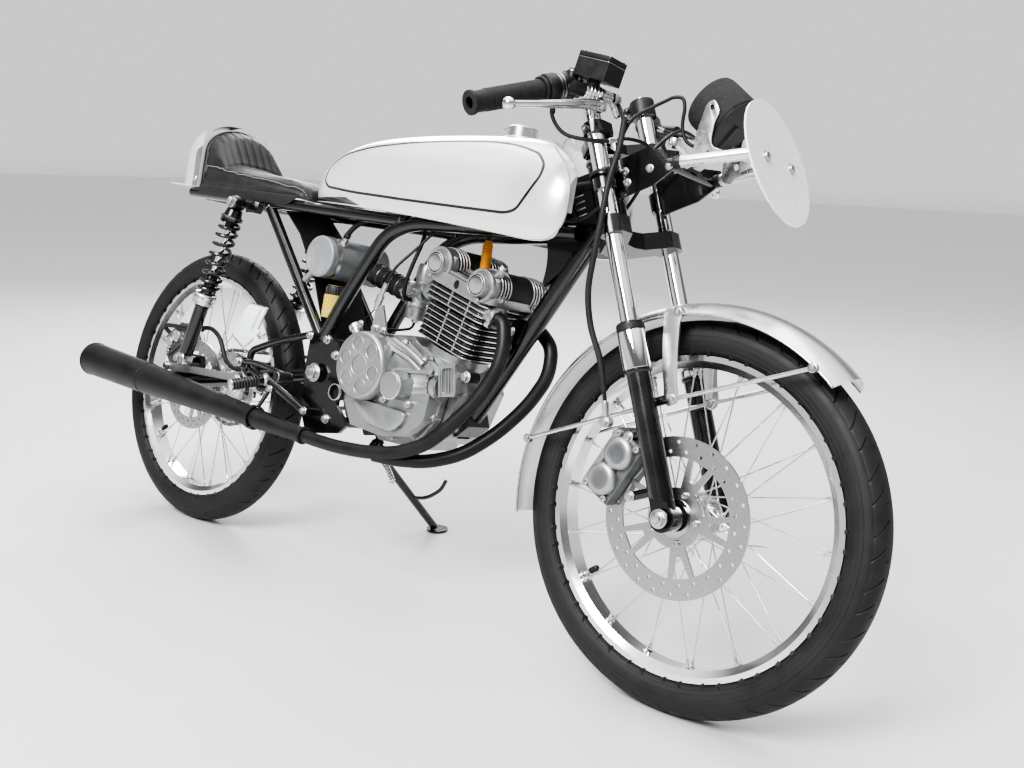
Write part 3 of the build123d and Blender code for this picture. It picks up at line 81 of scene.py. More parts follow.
def vec(x, y, z):
    """A point or a way from three numbers."""
    return Vector((x, y, z))


def steer(s, f, y=0.0):
    """A point s up the steering axis, f in front of it, y to the left."""
    x = STEER_FOOT[0] - s * sin(RAKE) + f * cos(RAKE)
    z = STEER_FOOT[1] + s * cos(RAKE) + f * sin(RAKE)
    return vec(x, y, z)


def engine(t, n, y=0.0):
    """A point t up the cylinder axis from the crank, n in front of it, y to the left."""
    x = CRANK[0] + t * sin(CYLINDER_TILT) + n * cos(CYLINDER_TILT)
    z = CRANK[1] + t * cos(CYLINDER_TILT) - n * sin(CYLINDER_TILT)
    return vec(x, y, z)


STEER_UP = vec(-sin(RAKE), 0, cos(RAKE))
STEER_FORWARD = vec(cos(RAKE), 0, sin(RAKE))
CYLINDER_UP = vec(sin(CYLINDER_TILT), 0, cos(CYLINDER_TILT))
CYLINDER_FORWARD = vec(cos(CYLINDER_TILT), 0, -sin(CYLINDER_TILT))
LEFT = vec(0, 1, 0)
RIGHT = vec(0, -1, 0)
UP = vec(0, 0, 1)


# Materials
def nodes_of(mat):
    """A material's nodes and the links between them."""
    return mat.node_tree.nodes, mat.node_tree.links


def noise(mat, scale, detail=3.0, rough=0.6, stretch=(1, 1, 1)):
    """Noise over the piece's own place, in features of about 1 / scale metres."""
    tree, links = nodes_of(mat)
    place = tree.new("ShaderNodeTexCoord")
    mapping = tree.new("ShaderNodeMapping")
    mapping.inputs["Scale"].default_value = stretch
    texture = tree.new("ShaderNodeTexNoise")
    texture.inputs["Scale"].default_value = scale
    texture.inputs["Detail"].default_value = detail
    texture.inputs["Roughness"].default_value = rough
    links.new(place.outputs["Object"], mapping.inputs["Vector"])
    links.new(mapping.outputs["Vector"], texture.inputs["Vector"])
    return texture.outputs["Fac"]


def ramp(mat, source, *stops):
    """A colour ramp: stops are (place, grey or colour)."""
    tree, links = nodes_of(mat)
    made = tree.new("ShaderNodeValToRGB")
    while len(made.color_ramp.elements) < len(stops):
        made.color_ramp.elements.new(0.5)
    for element, (place, colour) in zip(made.color_ramp.elements, stops):
        element.position = place
        grey = (colour, colour, colour) if isinstance(colour, (int, float)) else colour
        element.color = (*grey, 1)
    links.new(source, made.inputs["Fac"])
    return made.outputs["Color"]


def bump(mat, source, strength, distance, below=None):
    """A bumpy normal from a height, over the one below it."""
    tree, links = nodes_of(mat)
    made = tree.new("ShaderNodeBump")
    made.inputs["Strength"].default_value = strength
    made.inputs["Distance"].default_value = distance
    links.new(source, made.inputs["Height"])
    if below:
        links.new(below, made.inputs["Normal"])
    return made.outputs["Normal"]


def finish_of(name, low, high, roughness, scale=25, metallic=0.0, grain=None, stretch=(1, 1, 1), **sockets):
    """A material whose colour runs from low to high and whose roughness varies, both with noise."""
    mat = bpy.data.materials.new(name)
    mat.use_nodes = True
    tree, links = nodes_of(mat)
    shader = tree["Principled BSDF"]
    shader.inputs["Metallic"].default_value = metallic
    for socket, value in sockets.items():
        shader.inputs[socket.replace("_", " ")].default_value = value
    blotch = noise(mat, scale, 5, 0.65, stretch)
    links.new(ramp(mat, blotch, (0.32, low), (0.68, high)), shader.inputs["Base Color"])
    links.new(ramp(mat, blotch, (0.3, roughness[0]), (0.7, roughness[1])), shader.inputs["Roughness"])
    if grain:
        size, strength, distance = grain
        links.new(bump(mat, noise(mat, size, 2, 0.5, stretch), strength, distance), shader.inputs["Normal"])
    return mat


def leather():
    """Black leather: fine pebbles over slow wrinkles, with a faint sheen."""
    mat = finish_of("leather_black", (0.012, 0.012, 0.013), (0.024, 0.024, 0.026), (0.44, 0.58), 40,
                    Coat_Weight=0.08, Coat_Roughness=0.35)
    tree, links = nodes_of(mat)
    place = tree.new("ShaderNodeTexCoord")
    cells = tree.new("ShaderNodeTexVoronoi")
    cells.feature = "DISTANCE_TO_EDGE"
    cells.inputs["Scale"].default_value = 620
    links.new(place.outputs["Object"], cells.inputs["Vector"])
    pebble = bump(mat, ramp(mat, cells.outputs["Distance"], (0.0, 0.0), (0.25, 1.0)), 0.35, 0.0004)
    wrinkle = bump(mat, noise(mat, 90, 4, 0.6), 0.25, 0.0012, pebble)
    links.new(wrinkle, tree["Principled BSDF"].inputs["Normal"])
    return mat


def turned_steel(name, centre, low, high, roughness):
    """Steel ground in rings about a wheel's axle."""
    mat = bpy.data.materials.new(name)
    mat.use_nodes = True
    tree, links = nodes_of(mat)
    shader = tree["Principled BSDF"]
    shader.inputs["Metallic"].default_value = 1.0
    place = tree.new("ShaderNodeTexCoord")
    mapping = tree.new("ShaderNodeMapping")
    turn = Matrix.Rotation(LEAN, 3, "X")
    mapping.inputs["Location"].default_value = -(turn @ centre)
    mapping.inputs["Rotation"].default_value = (LEAN, 0, 0)
    flat = tree.new("ShaderNodeVectorMath")
    flat.operation = "MULTIPLY"
    flat.inputs[1].default_value = (1, 0, 1)
    far = tree.new("ShaderNodeVectorMath")
    far.operation = "LENGTH"
    rings = tree.new("ShaderNodeTexNoise")
    rings.noise_dimensions = "1D"
    rings.inputs["Scale"].default_value = 900
    rings.inputs["Detail"].default_value = 2
    links.new(place.outputs["Object"], mapping.inputs["Vector"])
    links.new(mapping.outputs["Vector"], flat.inputs[0])
    links.new(flat.outputs["Vector"], far.inputs[0])
    links.new(far.outputs["Value"], rings.inputs["W"])
    links.new(ramp(mat, rings.outputs["Fac"], (0.3, low), (0.7, high)), shader.inputs["Base Color"])
    links.new(ramp(mat, rings.outputs["Fac"], (0.3, roughness[0]), (0.7, roughness[1])),
              shader.inputs["Roughness"])
    links.new(bump(mat, rings.outputs["Fac"], 0.06, 0.0001), shader.inputs["Normal"])
    return mat


PEARL = finish_of("pearl_paint", (0.72, 0.735, 0.74), (0.745, 0.758, 0.762), (0.27, 0.31), 4, 0.3,
                  (2600, 0.04, 0.00006), Coat_Weight=1.0, Coat_Roughness=0.04)
STRIPE = finish_of("stripe_black", (0.01, 0.01, 0.01), (0.02, 0.02, 0.02), (0.25, 0.35), 60,
                   Coat_Weight=0.6)
ENAMEL = finish_of("black_enamel", (0.003, 0.003, 0.0035), (0.008, 0.008, 0.009), (0.2, 0.3), 30, 0.0,
                   (300, 0.04, 0.0002), Coat_Weight=0.7, Coat_Roughness=0.08)
FIN_BLACK = finish_of("fin_black", (0.006, 0.006, 0.007), (0.015, 0.015, 0.016), (0.42, 0.6), 60, 0.0,
                      (900, 0.3, 0.0003))
CAST = finish_of("cast_alloy", (0.37, 0.375, 0.38), (0.44, 0.445, 0.45), (0.36, 0.46), 45, 0.88,
                 (1000, 0.14, 0.00012))
CAST_DARK = finish_of("cast_dark", (0.16, 0.165, 0.17), (0.22, 0.225, 0.23), (0.4, 0.52), 45, 0.8,
                      (900, 0.2, 0.00015))
MACHINED = finish_of("machined_alloy", (0.68, 0.68, 0.69), (0.76, 0.76, 0.77), (0.24, 0.33), 60, 1.0,
                     (600, 0.06, 0.0001), (1, 4, 1))
POLISHED = finish_of("polished_alloy", (0.74, 0.745, 0.75), (0.84, 0.845, 0.85), (0.12, 0.2), 14, 1.0,
                     (400, 0.04, 0.0001), (1, 3, 1))
SATIN = finish_of("satin_alloy_sheet", (0.70, 0.705, 0.71), (0.77, 0.775, 0.78), (0.26, 0.34), 10, 1.0,
                  (500, 0.04, 0.0001), (1, 3, 1))
CHROME = finish_of("chrome", (0.84, 0.84, 0.85), (0.89, 0.89, 0.9), (0.04, 0.07), 12, 1.0,
                   (300, 0.015, 0.00008))
STEEL = finish_of("zinc_steel", (0.52, 0.52, 0.51), (0.63, 0.63, 0.62), (0.28, 0.38), 80, 1.0,
                  (900, 0.08, 0.0001))
OILY = finish_of("oily_steel", (0.11, 0.10, 0.085), (0.28, 0.26, 0.23), (0.3, 0.5), 200, 0.9,
                 (900, 0.2, 0.0003))
TYRE = finish_of("tyre_rubber", (0.008, 0.008, 0.008), (0.02, 0.0195, 0.019), (0.5, 0.7), 26, 0.0,
                 (1400, 0.3, 0.0003))
GRIP = finish_of("grip_rubber", (0.012, 0.012, 0.012), (0.024, 0.024, 0.024), (0.6, 0.75), 70, 0.0,
                 (1500, 0.3, 0.0003))
PLASTIC = finish_of("black_plastic", (0.007, 0.007, 0.008), (0.016, 0.016, 0.018), (0.38, 0.52), 60, 0.0,
                    (1700, 0.3, 0.0003))
PLATE = finish_of("plate_white", (0.83, 0.84, 0.83), (0.86, 0.87, 0.86), (0.24, 0.3), 8, 0.0,
                  (60, 0.03, 0.0002), Coat_Weight=0.4, Subsurface_Weight=0.15)
BOTTLE = finish_of("bottle_yellow", (0.72, 0.50, 0.08), (0.85, 0.66, 0.18), (0.22, 0.35), 40, 0.0,
                   (60, 0.1, 0.001), Subsurface_Weight=0.3, Transmission_Weight=0.25)
EXHAUST = finish_of("exhaust_black", (0.007, 0.007, 0.007), (0.016, 0.0155, 0.015), (0.38, 0.5), 22, 0.1,
                    (1500, 0.3, 0.0003))
CANISTER = finish_of("canister_grey", (0.22, 0.23, 0.24), (0.29, 0.3, 0.31), (0.42, 0.55), 40, 0.2,
                     (900, 0.25, 0.0004))
RUBBER = finish_of("soft_rubber", (0.008, 0.008, 0.008), (0.018, 0.018, 0.018), (0.5, 0.65), 60, 0.0,
                   (1200, 0.2, 0.0003))
FOAM = finish_of("foam_rubber", (0.016, 0.016, 0.017), (0.04, 0.04, 0.042), (0.8, 0.95), 160, 0.0,
                 (700, 0.9, 0.0012))
DIAL = finish_of("dial_black", (0.01, 0.01, 0.011), (0.016, 0.016, 0.018), (0.3, 0.4), 50, Coat_Weight=1.0,
                 Coat_Roughness=0.03)
ORANGE = finish_of("plug_orange", (0.62, 0.22, 0.015), (0.74, 0.30, 0.03), (0.45, 0.6), 60, 0.0,
                   (900, 0.2, 0.0003))
DARK_THREAD = finish_of("dark_thread", (0.035, 0.035, 0.036), (0.06, 0.06, 0.062), (0.7, 0.85), 300, 0.0,
                        (2500, 0.4, 0.0002))
THREAD = finish_of("pale_thread", (0.42, 0.42, 0.42), (0.58, 0.58, 0.57), (0.7, 0.85), 300, 0.0,
                   (2500, 0.4, 0.0002))
LEATHER = leather()
front_axle = Vector(joints["front_wheel_spin"]["pos_m"])
FRONT_DISC = turned_steel("front_disc_steel", front_axle, (0.44, 0.44, 0.44),
                          (0.52, 0.52, 0.52), (0.26, 0.36))
REAR_DISC = turned_steel("rear_disc_steel", rear_axle, (0.46, 0.46, 0.45), (0.6, 0.6, 0.59), (0.26, 0.4))

CAD_FINISH = [
    # a finish, the nodes that have it
    (PEARL, "fuel_tank tail_cowl"),
    (SATIN, "fuel_cap front_fender"),
    (TYRE, "front_tyre rear_tyre"),
    (POLISHED, "front_rim rear_rim front_hub rear_hub bar_levers"),
    (FRONT_DISC, "front_disc"),
    (REAR_DISC, "rear_disc"),
    (STEEL, "rear_sprocket front_axle rear_axle cable_bracket fuel_tap"),
    (OILY, "drive_chain"),
    (CHROME, "fork_tubes"),
    (ENAMEL, "fork_sliders fork_yokes clip_on_bars plate_bracket frame_spine main_tubes "
             "rear_diagonals seat_rails pivot_plates swingarm foot_controls side_stand "
             "shock_absorbers"),
    (MACHINED, "fender_stays"),
    (CAST_DARK, "front_caliper rear_caliper"),
    (GRIP, "grips"),
    (PLASTIC, "bar_controls brake_hose gauge inner_fender clutch_cable throttle_cable"),
    (PLATE, "number_plate heel_guard"),
    (CAST, "crankcase cylinder_head clutch_cover generator_cover torque_bar carburettor"),
    (FIN_BLACK, "cylinder"),
    (EXHAUST, "silencer_hanger exhaust_headers megaphone"),
    (RUBBER, "fuel_hose"),
    (CANISTER, "air_canister"),
    (BOTTLE, "catch_bottle"),
    (LEATHER, "seat_pad"),
]
for mat, names in CAD_FINISH:
    for name in names.split():
        for slot in nodes[name].material_slots:
            slot.material = mat


# Shapes: a shape is (points, faces) in its own place, in millimetres
def skin(rings, closed=False, ends=True):
    """Faces between rings of equally many points, each ring closed on itself."""
    count = len(rings[0])
    points = [Vector(p) for ring in rings for p in ring]
    faces = []
    for i in range(len(rings) if closed else len(rings) - 1):
        a, b = i * count, (i + 1) % len(rings) * count
        faces += [(a + k, a + (k + 1) % count, b + (k + 1) % count, b + k) for k in range(count)]
    if ends and not closed:
        faces += [tuple(range(count - 1, -1, -1)), tuple(range(len(points) - count, len(points)))]
    return points, faces


def angles(count):
    """The bearings of count places spread evenly round a circle."""
    return [2 * pi * k / count for k in range(count)]


def circle(radius, height, sides):
    """A ring of points about Z."""
    return [vec(radius * cos(a), radius * sin(a), height) for a in angles(sides)]


def turned(profile, sides=40, closed=False):
    """A shape turned about Z from (radius, height) points, open at its first and last ring."""
    return skin([circle(max(r, 0.01), h, sides) for r, h in profile], closed, ends=False)


def ridge(foot, crest, middle, reach, flat):
    """The profile of a ring that stands out from foot to crest, its sides sloping in from reach to flat."""
    return [(foot, middle - reach), (crest, middle - flat), (crest, middle + flat), (foot, middle + reach)]


def rod(radius, low, high, sides):
    """A round bar between two heights, closed by flat ends."""
    return turned([(0, low), (radius, low), (radius, high), (0, high)], sides)


def sleeve_of(inner, outer, low, high, sides):
    """A round bar with a bore."""
    return turned([(inner, low), (outer, low), (outer, high), (inner, high)], sides, closed=True)


def smooth_path(points, steps=8):
    """A round-cornered line through a few points (uniform Catmull-Rom)."""
    pts = [Vector(p) for p in points]
    pts = [2 * pts[0] - pts[1], *pts, 2 * pts[-1] - pts[-2]]
    line = []
    for p0, p1, p2, p3 in zip(pts, pts[1:], pts[2:], pts[3:]):
        for k in range(steps):
            t = k / steps
            line.append(
                0.5 * (2 * p1 + (p2 - p0) * t + (2 * p0 - 5 * p1 + 4 * p2 - p3) * t * t
                       + (3 * p1 - 3 * p2 + p3 - p0) * t ** 3)
            )
    return [*line, pts[-2].copy()]


def tube(path, radius, sides=12, closed=False, squash=1.0, hint=None):
    """A round bar along a list of points, with one radius or one for each point."""
    path = [Vector(p) for p in path]
    count = len(path)
    radii = radius if isinstance(radius, list) else [radius] * count
    rings, side = [], None
    for k, p in enumerate(path):
        ahead = path[(k + 1) % count] if closed or k < count - 1 else p
        behind = path[k - 1] if closed or k else p
        way = (ahead - behind).normalized()
        if side is None:
            side = Vector(hint) if hint else way.orthogonal()
        side = (side - side.dot(way) * way).normalized()
        other = way.cross(side)
        rings.append([p + radii[k] * (cos(a) * side + squash * sin(a) * other) for a in angles(sides)])
    return skin(rings, closed)


def block(x, y, z):
    """A box about its own middle."""
    corners = [(-x / 2, -y / 2), (x / 2, -y / 2), (x / 2, y / 2), (-x / 2, y / 2)]
    return skin([[vec(a, b, h) for a, b in corners] for h in (-z / 2, z / 2)])


def prism(outline, low, high):
    """A flat plate between two heights."""
    return skin([[vec(a, b, h) for a, b in outline] for h in (low, high)])


def rounded(corners, radius, steps=4):
    """An outline with its corners rounded."""
    pts = [vec(*p, 0) for p in corners]
    out = []
    for k, p in enumerate(pts):
        a, b = pts[k - 1] - p, pts[(k + 1) % len(pts)] - p
        reach = min(radius, 0.45 * a.length, 0.45 * b.length)
        start, end = p + a.normalized() * reach, p + b.normalized() * reach
        for j in range(steps + 1):
            t = j / steps
            q = (1 - t) ** 2 * start + 2 * t * (1 - t) * p + t * t * end
            out.append((q.x, q.y))
    return out


def layered(outline, centre, layers):
    """A raised face: an outline in x and z at each layer's y, drawn in towards centre by its share."""
    cx, cz = centre
    return skin([[vec(cx + (x - cx) * share, y, cz + (z - cz) * share) for x, z in outline]
                 for y, share in layers])


def hex_head(width, height, washer=1.6):
    """A bolt head with a chamfered top on a washer."""
    r = width / sqrt(3)
    points, faces = skin([circle(r, washer * 0.7, 6), circle(r, height - 0.8, 6),
                          circle(r * 0.86, height, 6)])
    disc_points, disc_faces = turned([(r * 1.3, 0), (r * 1.3, washer * 0.6), (r * 1.22, washer * 0.75),
                                      (r * 0.8, washer * 0.75)], 20)
    base = len(points)
    return points + disc_points, faces + [tuple(base + i for i in f) for f in disc_faces]


SCREW_SIDES = 24


def socket_head(radius, height):
    """A cap screw with a hexagon socket."""
    rings = [(radius, 0), (radius, height - 0.6), (radius - 0.6, height), (radius * 0.55, height),
             (radius * 0.55, height * 0.35)]
    points, faces = turned(rings, SCREW_SIDES)
    faces.append(tuple(range(len(points) - SCREW_SIDES, len(points))))
    return points, faces


def at(origin, z=UP, x=None):
    """A place with its own Z along z, and its X as near x as can be."""
    z = Vector(z).normalized()
    x = Vector(x) if x is not None else z.orthogonal()
    x = (x - x.dot(z) * z).normalized()
    turn = Matrix((x, z.cross(x), z)).transposed().to_4x4()
    return Matrix.Translation(origin) @ turn


def shift(x, y, z):
    """A place that many millimetres off in each way."""
    return Matrix.Translation((x, y, z))


def on_leg(s, side):
    """A point s up a fork leg's axis."""
    return steer(s, LEG_FORWARD, side * LEG_Y)


def on_cylinder(t, n, y=0.0):
    """A place on the cylinder, its Z up the cylinder's axis."""
    return at(engine(t, n, y), CYLINDER_UP, CYLINDER_FORWARD)


class Piece:
    """One Blender object under construction, on one body, with one or more finishes."""

    def __init__(self, name, body, *finishes):
        self.name, self.body, self.finishes = name, body, finishes
        self.points, self.faces, self.finish_of_face = [], [], []

    def add(self, shape, place=None, finish=None):
        """Puts a shape at a place, in one of the piece's finishes or else its first."""
        points, faces = shape
        base = len(self.points)
        self.points += [place @ p for p in points] if place else points
        self.faces += [tuple(base + i for i in face) for face in faces]
        number = 0 if finish is None else self.finishes.index(finish)
        self.finish_of_face += [number] * len(faces)
        return self

    def turn(self, profile, sides, place, finish=None, closed=False):
        """Puts a shape turned from (radius, height) points at a place, about its own Z."""
        return self.add(turned(profile, sides, closed), place, finish)

    def bolt(self, where, way, width=10, height=6, finish=None):
        """A hexagon head that looks along way."""
        return self.add(hex_head(width, height), at(where, way, (0.3, 0.2, 1)), finish)

    def screw(self, where, way, radius=4.5, height=5, finish=None):
        """A cap screw's head that looks along way."""
        return self.add(socket_head(radius, height), at(where, way), finish)

    def done(self, bevel=0.0, sharp=35.0, slot=None, weld=0.01, rides=True):
        """Makes the object, its edges sharp above an angle in degrees and its points joined within weld."""
        mesh = bpy.data.meshes.new(self.name)
        mesh.from_pydata([UPRIGHT @ p for p in self.points], [], self.faces)
        mesh.polygons.foreach_set("material_index", self.finish_of_face)
        work = bmesh.new()
        work.from_mesh(mesh)
        bmesh.ops.remove_doubles(work, verts=work.verts, dist=weld * 0.001)
        bmesh.ops.recalc_face_normals(work, faces=work.faces)
        limit = radians(sharp)
        if bevel:
            edges = [e for e in work.edges if len(e.link_faces) == 2 and e.calc_face_angle() > limit]
            bmesh.ops.bevel(work, geom=edges, offset=bevel * 0.001, segments=2, affect="EDGES", profile=0.6,
                            clamp_overlap=True)
        for face in work.faces:
            face.smooth = True
        for edge in work.edges:
            edge.smooth = len(edge.link_faces) != 2 or edge.calc_face_angle() < limit
        work.to_mesh(mesh)
        work.free()
        made = bpy.data.objects.new(self.name, mesh)
        bpy.context.scene.collection.objects.link(made)
        for mat in self.finishes:
            mesh.materials.append(mat)
        if rides:
            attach(made, self.body)
        return made


# Wheels
TYRE_HALF = [
    # half width, radius, from the middle of the tread to the bead
    (0, 292), (8, 291.2), (15, 288.8), (21, 284.6), (25.4, 279.4), (26.2, 278.2), (29.6, 271.5),
    (30.9, 264), (30.6, 256), (28.6, 248.5), (24.6, 242.4), (19.6, 239.2), (18.4, 236.5),
]
PITCHES = 24
SHOULDER = 26.2
SHOULDER_DEPTH = 0.9
GROOVE_DEPTH = 4.2
GROOVE_SWEEP = 0.34
SIDE_HOOPS = [(27.6, 246.2), (29.9, 252.4), (30.9, 259.5), (31.0, 266.0)]
HUB_HOOP = 31
RIM_HOOP = 219.7
SPOKE_TURN = 66.0
VALVE_ANGLE = -128
GROOVES = [
    # where round the pitch it starts at the shoulder, width, inner end and outer end as shares of the tread
    (0.10, 0.045, 0.18, 1.0), (0.52, 0.045, 0.42, 1.0), (0.80, 0.030, 0.10, 0.36),
]


def tyre_profile():
    """(half width, radius) of a smooth half section, denser in the tread."""
    line = smooth_path([(a, b, 0) for a, b in TYRE_HALF], 3)
    return [(p.x, p.y) for p in line]


def tread_columns():
    """Places round one pitch, groove edges included, as (share, groove index and side or None)."""
    columns = []
    for side, offset in ((-1, 0.0), (1, 0.5)):
        for index, (start, width, _, _) in enumerate(GROOVES):
            for step, cut in ((0, False), (0.12, True), (0.88, True), (1, False)):
                columns.append(((start + offset + width * step) % 1.0, (index, side) if cut else None))
    columns += [(k / 10 + 0.013, None) for k in range(10)]
    return sorted(columns, key=lambda column: column[0])


def on_wheel(axle, radius, angle, y):
    """A point on a wheel, its angle going forward from the top."""
    return vec(axle + radius * sin(angle), y, TYRE_RADIUS + radius * cos(angle))


def make_tyre(name, body, x):
    """A tyre with its tread's grooves, one column of points for each place round a pitch."""
    profile = tyre_profile()
    section = [(-a, r) for a, r in reversed(profile[1:])] + profile
    rings = []
    for pitch in range(PITCHES):
        for share, groove in tread_columns():
            ring = []
            for y, r in section:
                across = min(abs(y) / SHOULDER, 1.0)
                fade = 1 if abs(y) <= SHOULDER else max(0.0, 1 - (abs(y) - SHOULDER) / 4)
                sweep = GROOVE_SWEEP * across ** 1.6 * fade
                angle = 2 * pi * (pitch + share + sweep) / PITCHES
                deep = 0.0
                if groove and (y > 0) == (groove[1] > 0) and abs(y) <= SHOULDER + 0.5:
                    inner, outer = GROOVES[groove[0]][2:]
                    if inner <= across <= outer:
                        deep = GROOVE_DEPTH * min(1.0, (across - inner) / 0.12)
                if abs(abs(y) - SHOULDER) < 0.7:
                    deep = max(deep, SHOULDER_DEPTH)
                ring.append(on_wheel(x, r - deep, angle, y))
            rings.append(ring)
    count = len(section)
    piece = Piece(name, body, TYRE)
    faces = []
    for i in range(len(rings)):
        a, b = i * count, (i + 1) % len(rings) * count
        faces += [(a + k, a + k + 1, b + k + 1, b + k) for k in range(count - 1)]
    piece.add(([p for ring in rings for p in ring], faces))
    for side in (-1, 1):
        for y, r in SIDE_HOOPS:
            around = [on_wheel(x, r, a, side * (y - 0.25)) for a in angles(160)]
            piece.add(tube(around, 0.55, 5, closed=True))
    made = piece.done(sharp=38, slot="tyre")
    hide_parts(name.replace("_tread", ""))


def spoke_ends(x):
    """For each spoke its end at the hub and its end at the rim."""
    pairs = SPOKES // 4
    ends = []
    for side in (-1, 1):
        for k in range(pairs):
            for way in (-1, 1):
                rim_angle = radians(360 / pairs * k + (90 / pairs) * way + (90 / pairs) * (side + 1))
                hub_angle = rim_angle + radians(SPOKE_TURN) * way
                hub_y, rim_y = side * (20.0 + way * 5.4), side * (6.0 + 2.0 * way)
                ends.append((on_wheel(x, HUB_HOOP, hub_angle, hub_y),
                             on_wheel(x, RIM_HOOP, rim_angle, rim_y)))
    return ends


def make_nipples(name, body, x):
    """Spoke nipples in the rim's dimples, spoke heads at the hub, and the tyre valve."""
    piece = Piece(name, body, MACHINED, PLASTIC, STEEL)
    nipple = turned([(4.2, 0.2), (4.2, 1.0), (3.4, 1.8), (2.5, 2.4), (2.5, 11), (2.1, 13), (1.3, 13.6)], 10)
    for a, b in spoke_ends(x):
        piece.add(nipple, at(b, a - b))
        piece.turn([(1.35, -3), (2.4, -2), (2.4, 0.5), (1.3, 1.5)], 10, at(a, b - a), STEEL)
    foot = on_wheel(x, 220, radians(VALVE_ANGLE), 0)
    inward = vec(x, 0, TYRE_RADIUS) - foot
    piece.turn([(6.5, 0), (6.5, 1.5), (4.2, 2.5), (4.2, 14), (3.2, 15)], 16, at(foot, inward), STEEL)
    piece.turn([(3.0, 14), (5.0, 14), (5.0, 27), (3.6, 29.5), (0, 30)], 16, at(foot, inward), PLASTIC)
    piece.done()


for make, what in ((make_tyre, "tyre_tread"), (make_nipples, "nipples")):
    for end, axle_x in (("front", WHEELBASE), ("rear", 0.0)):
        make(f"{end}_{what}", f"{end}_wheel", axle_x)


# Seat: cushion and back rest in black leather, simulated as a padded cover, then sewn
SEAT_ROWS = [
    # x, half width, height of the side, height of the middle
    (307, 56, 721, 728), (292, 74, 728, 735), (220, 84, 736, 745), (120, 87, 745, 753), (58, 87, 751, 760),
    (40, 86, 757, 775), (22, 86, 772, 803), (0, 87, 786, 834), (-24, 87, 793, 851), (-31, 85, 791, 849),
]
SEAT_TILT = 0.03433
PLEATS = 9


def seat_low(x):
    """The level of the cushion's underside."""
    return 716.2 - SEAT_TILT * (x + 70)


def seat_row(x):
    """Half width, side height and middle height at x."""
    for a, b in zip(SEAT_ROWS, SEAT_ROWS[1:]):
        if a[0] >= x >= b[0]:
            t = (a[0] - x) / (a[0] - b[0])
            return [p + t * (q - p) for p, q in zip(a[1:], b[1:])]
    return list(SEAT_ROWS[0 if x > SEAT_ROWS[0][0] else -1][1:])


def seat_point(x, turn):
    """A point on the arch over the seat, turn going from 0 at the right edge to 1 at the left."""
    half, side, middle = seat_row(x)
    a = pi * turn
    return vec(x, -half * cos(a), side + (middle - side) * sin(a))


def seat_shell():
    """The cushion and its back rest as one closed skin."""
    rings = []
    steps = [SEAT_ROWS[0][0] - k * (SEAT_ROWS[0][0] - SEAT_ROWS[-1][0]) / 60 for k in range(61)]
    for x in steps:
        arch = [seat_point(x, k / 24) for k in range(25)]
        low = [vec(x, arch[-1].y * (1 - k / 4), seat_low(x)) for k in range(0, 9)]
        rings.append(arch + low)
    return skin(rings)


def swell(made, pressure, cap, low):
    """Blows a closed cover up a little as cloth, its underside held, and keeps the result."""
    mesh = made.data
    group = made.vertex_groups.new(name="held")
    group.add([v.index for v in mesh.vertices if low(v.co)], 1.0, "REPLACE")
    rest = [v.co.copy() for v in mesh.vertices]
    cloth = made.modifiers.new("cloth", "CLOTH")
    cloth.settings.use_pressure = True
    cloth.settings.uniform_pressure_force = pressure
    cloth.settings.vertex_group_mass = "held"
    cloth.settings.effector_weights.gravity = 0
    cloth.settings.quality = 4
    scene = bpy.context.scene
    for step in range(1, 21):
        scene.frame_set(step)
    shaped = made.evaluated_get(bpy.context.evaluated_depsgraph_get()).data
    moved = [v.co.copy() for v in shaped.vertices]
    made.modifiers.remove(cloth)
    scene.frame_set(1)
    for vertex, was, now in zip(mesh.vertices, rest, moved):
        step = now - was
        vertex.co = was + step * min(1.0, cap / max(step.length, 1e-9))


def with_modifier(made, kind, **settings):
    """Puts a modifier's result into the mesh."""
    modifier = made.modifiers.new("shape", kind)
    for key, value in settings.items():
        setattr(modifier, key, value)
    shaped = bpy.data.meshes.new_from_object(made.evaluated_get(bpy.context.evaluated_depsgraph_get()))
    made.modifiers.remove(modifier)
    made.data = shaped


def surface_of(made):
    """An object's surface as it is now, to look places up on."""
    return BVHTree.FromObject(made, bpy.context.evaluated_depsgraph_get())


def on_surface(tree, line):
    """Each point's nearest place on a mesh, with the outward normal there, both in the row frame."""
    found = [tree.find_nearest(UPRIGHT @ p) for p in line]
    return [(place, normal) for place, normal, _, _ in found]


def sew(made, lines, width, depth):
    """Draws the cover in along seams, as far as width on each side."""
    tree = surface_of(made)
    seams = [place for line in lines for place, _ in on_surface(tree, line)]
    near = KDTree(len(seams))
    for index, place in enumerate(seams):
        near.insert(place, index)
    near.balance()
    normals = [v.normal.copy() for v in made.data.vertices]
    for vertex, normal in zip(made.data.vertices, normals):
        _, _, far = near.find(vertex.co)
        if far < width:
            vertex.co -= normal * depth * (1 - (far / width) ** 2) ** 2


def dense(points, step=2.0):
    """The same line with a point every step millimetres."""
    line = [Vector(p) for p in points]
    out = [line[0]]
    for a, b in zip(line, line[1:]):
        count = max(1, round((b - a).length / step))
        out += [a + (b - a) * k / count for k in range(1, count + 1)]
    return out


def stitch(piece, tree, line, spacing=5.4, length=3.6, lift=0.4, finish=THREAD):
    """Short threads along a line on a mesh."""
    along, last = 0.0, None
    places = [(TO_UPRIGHT @ p, (TO_UPRIGHT.to_3x3() @ n).normalized())
              for p, n in on_surface(tree, dense(line, 0.6))]
    for (a, n), (b, _) in zip(places, places[1:]):
        along += (b - a).length
        if last is None or along - last >= spacing:
            last = along
            way = (b - a).normalized()
            ends = [a + n * (lift - 0.7), a + n * lift + way * 0.5, a + n * lift + way * (length - 0.5),
                    a + n * (lift - 0.7) + way * length]
            piece.add(tube(ends, 0.55, 5), None, finish)


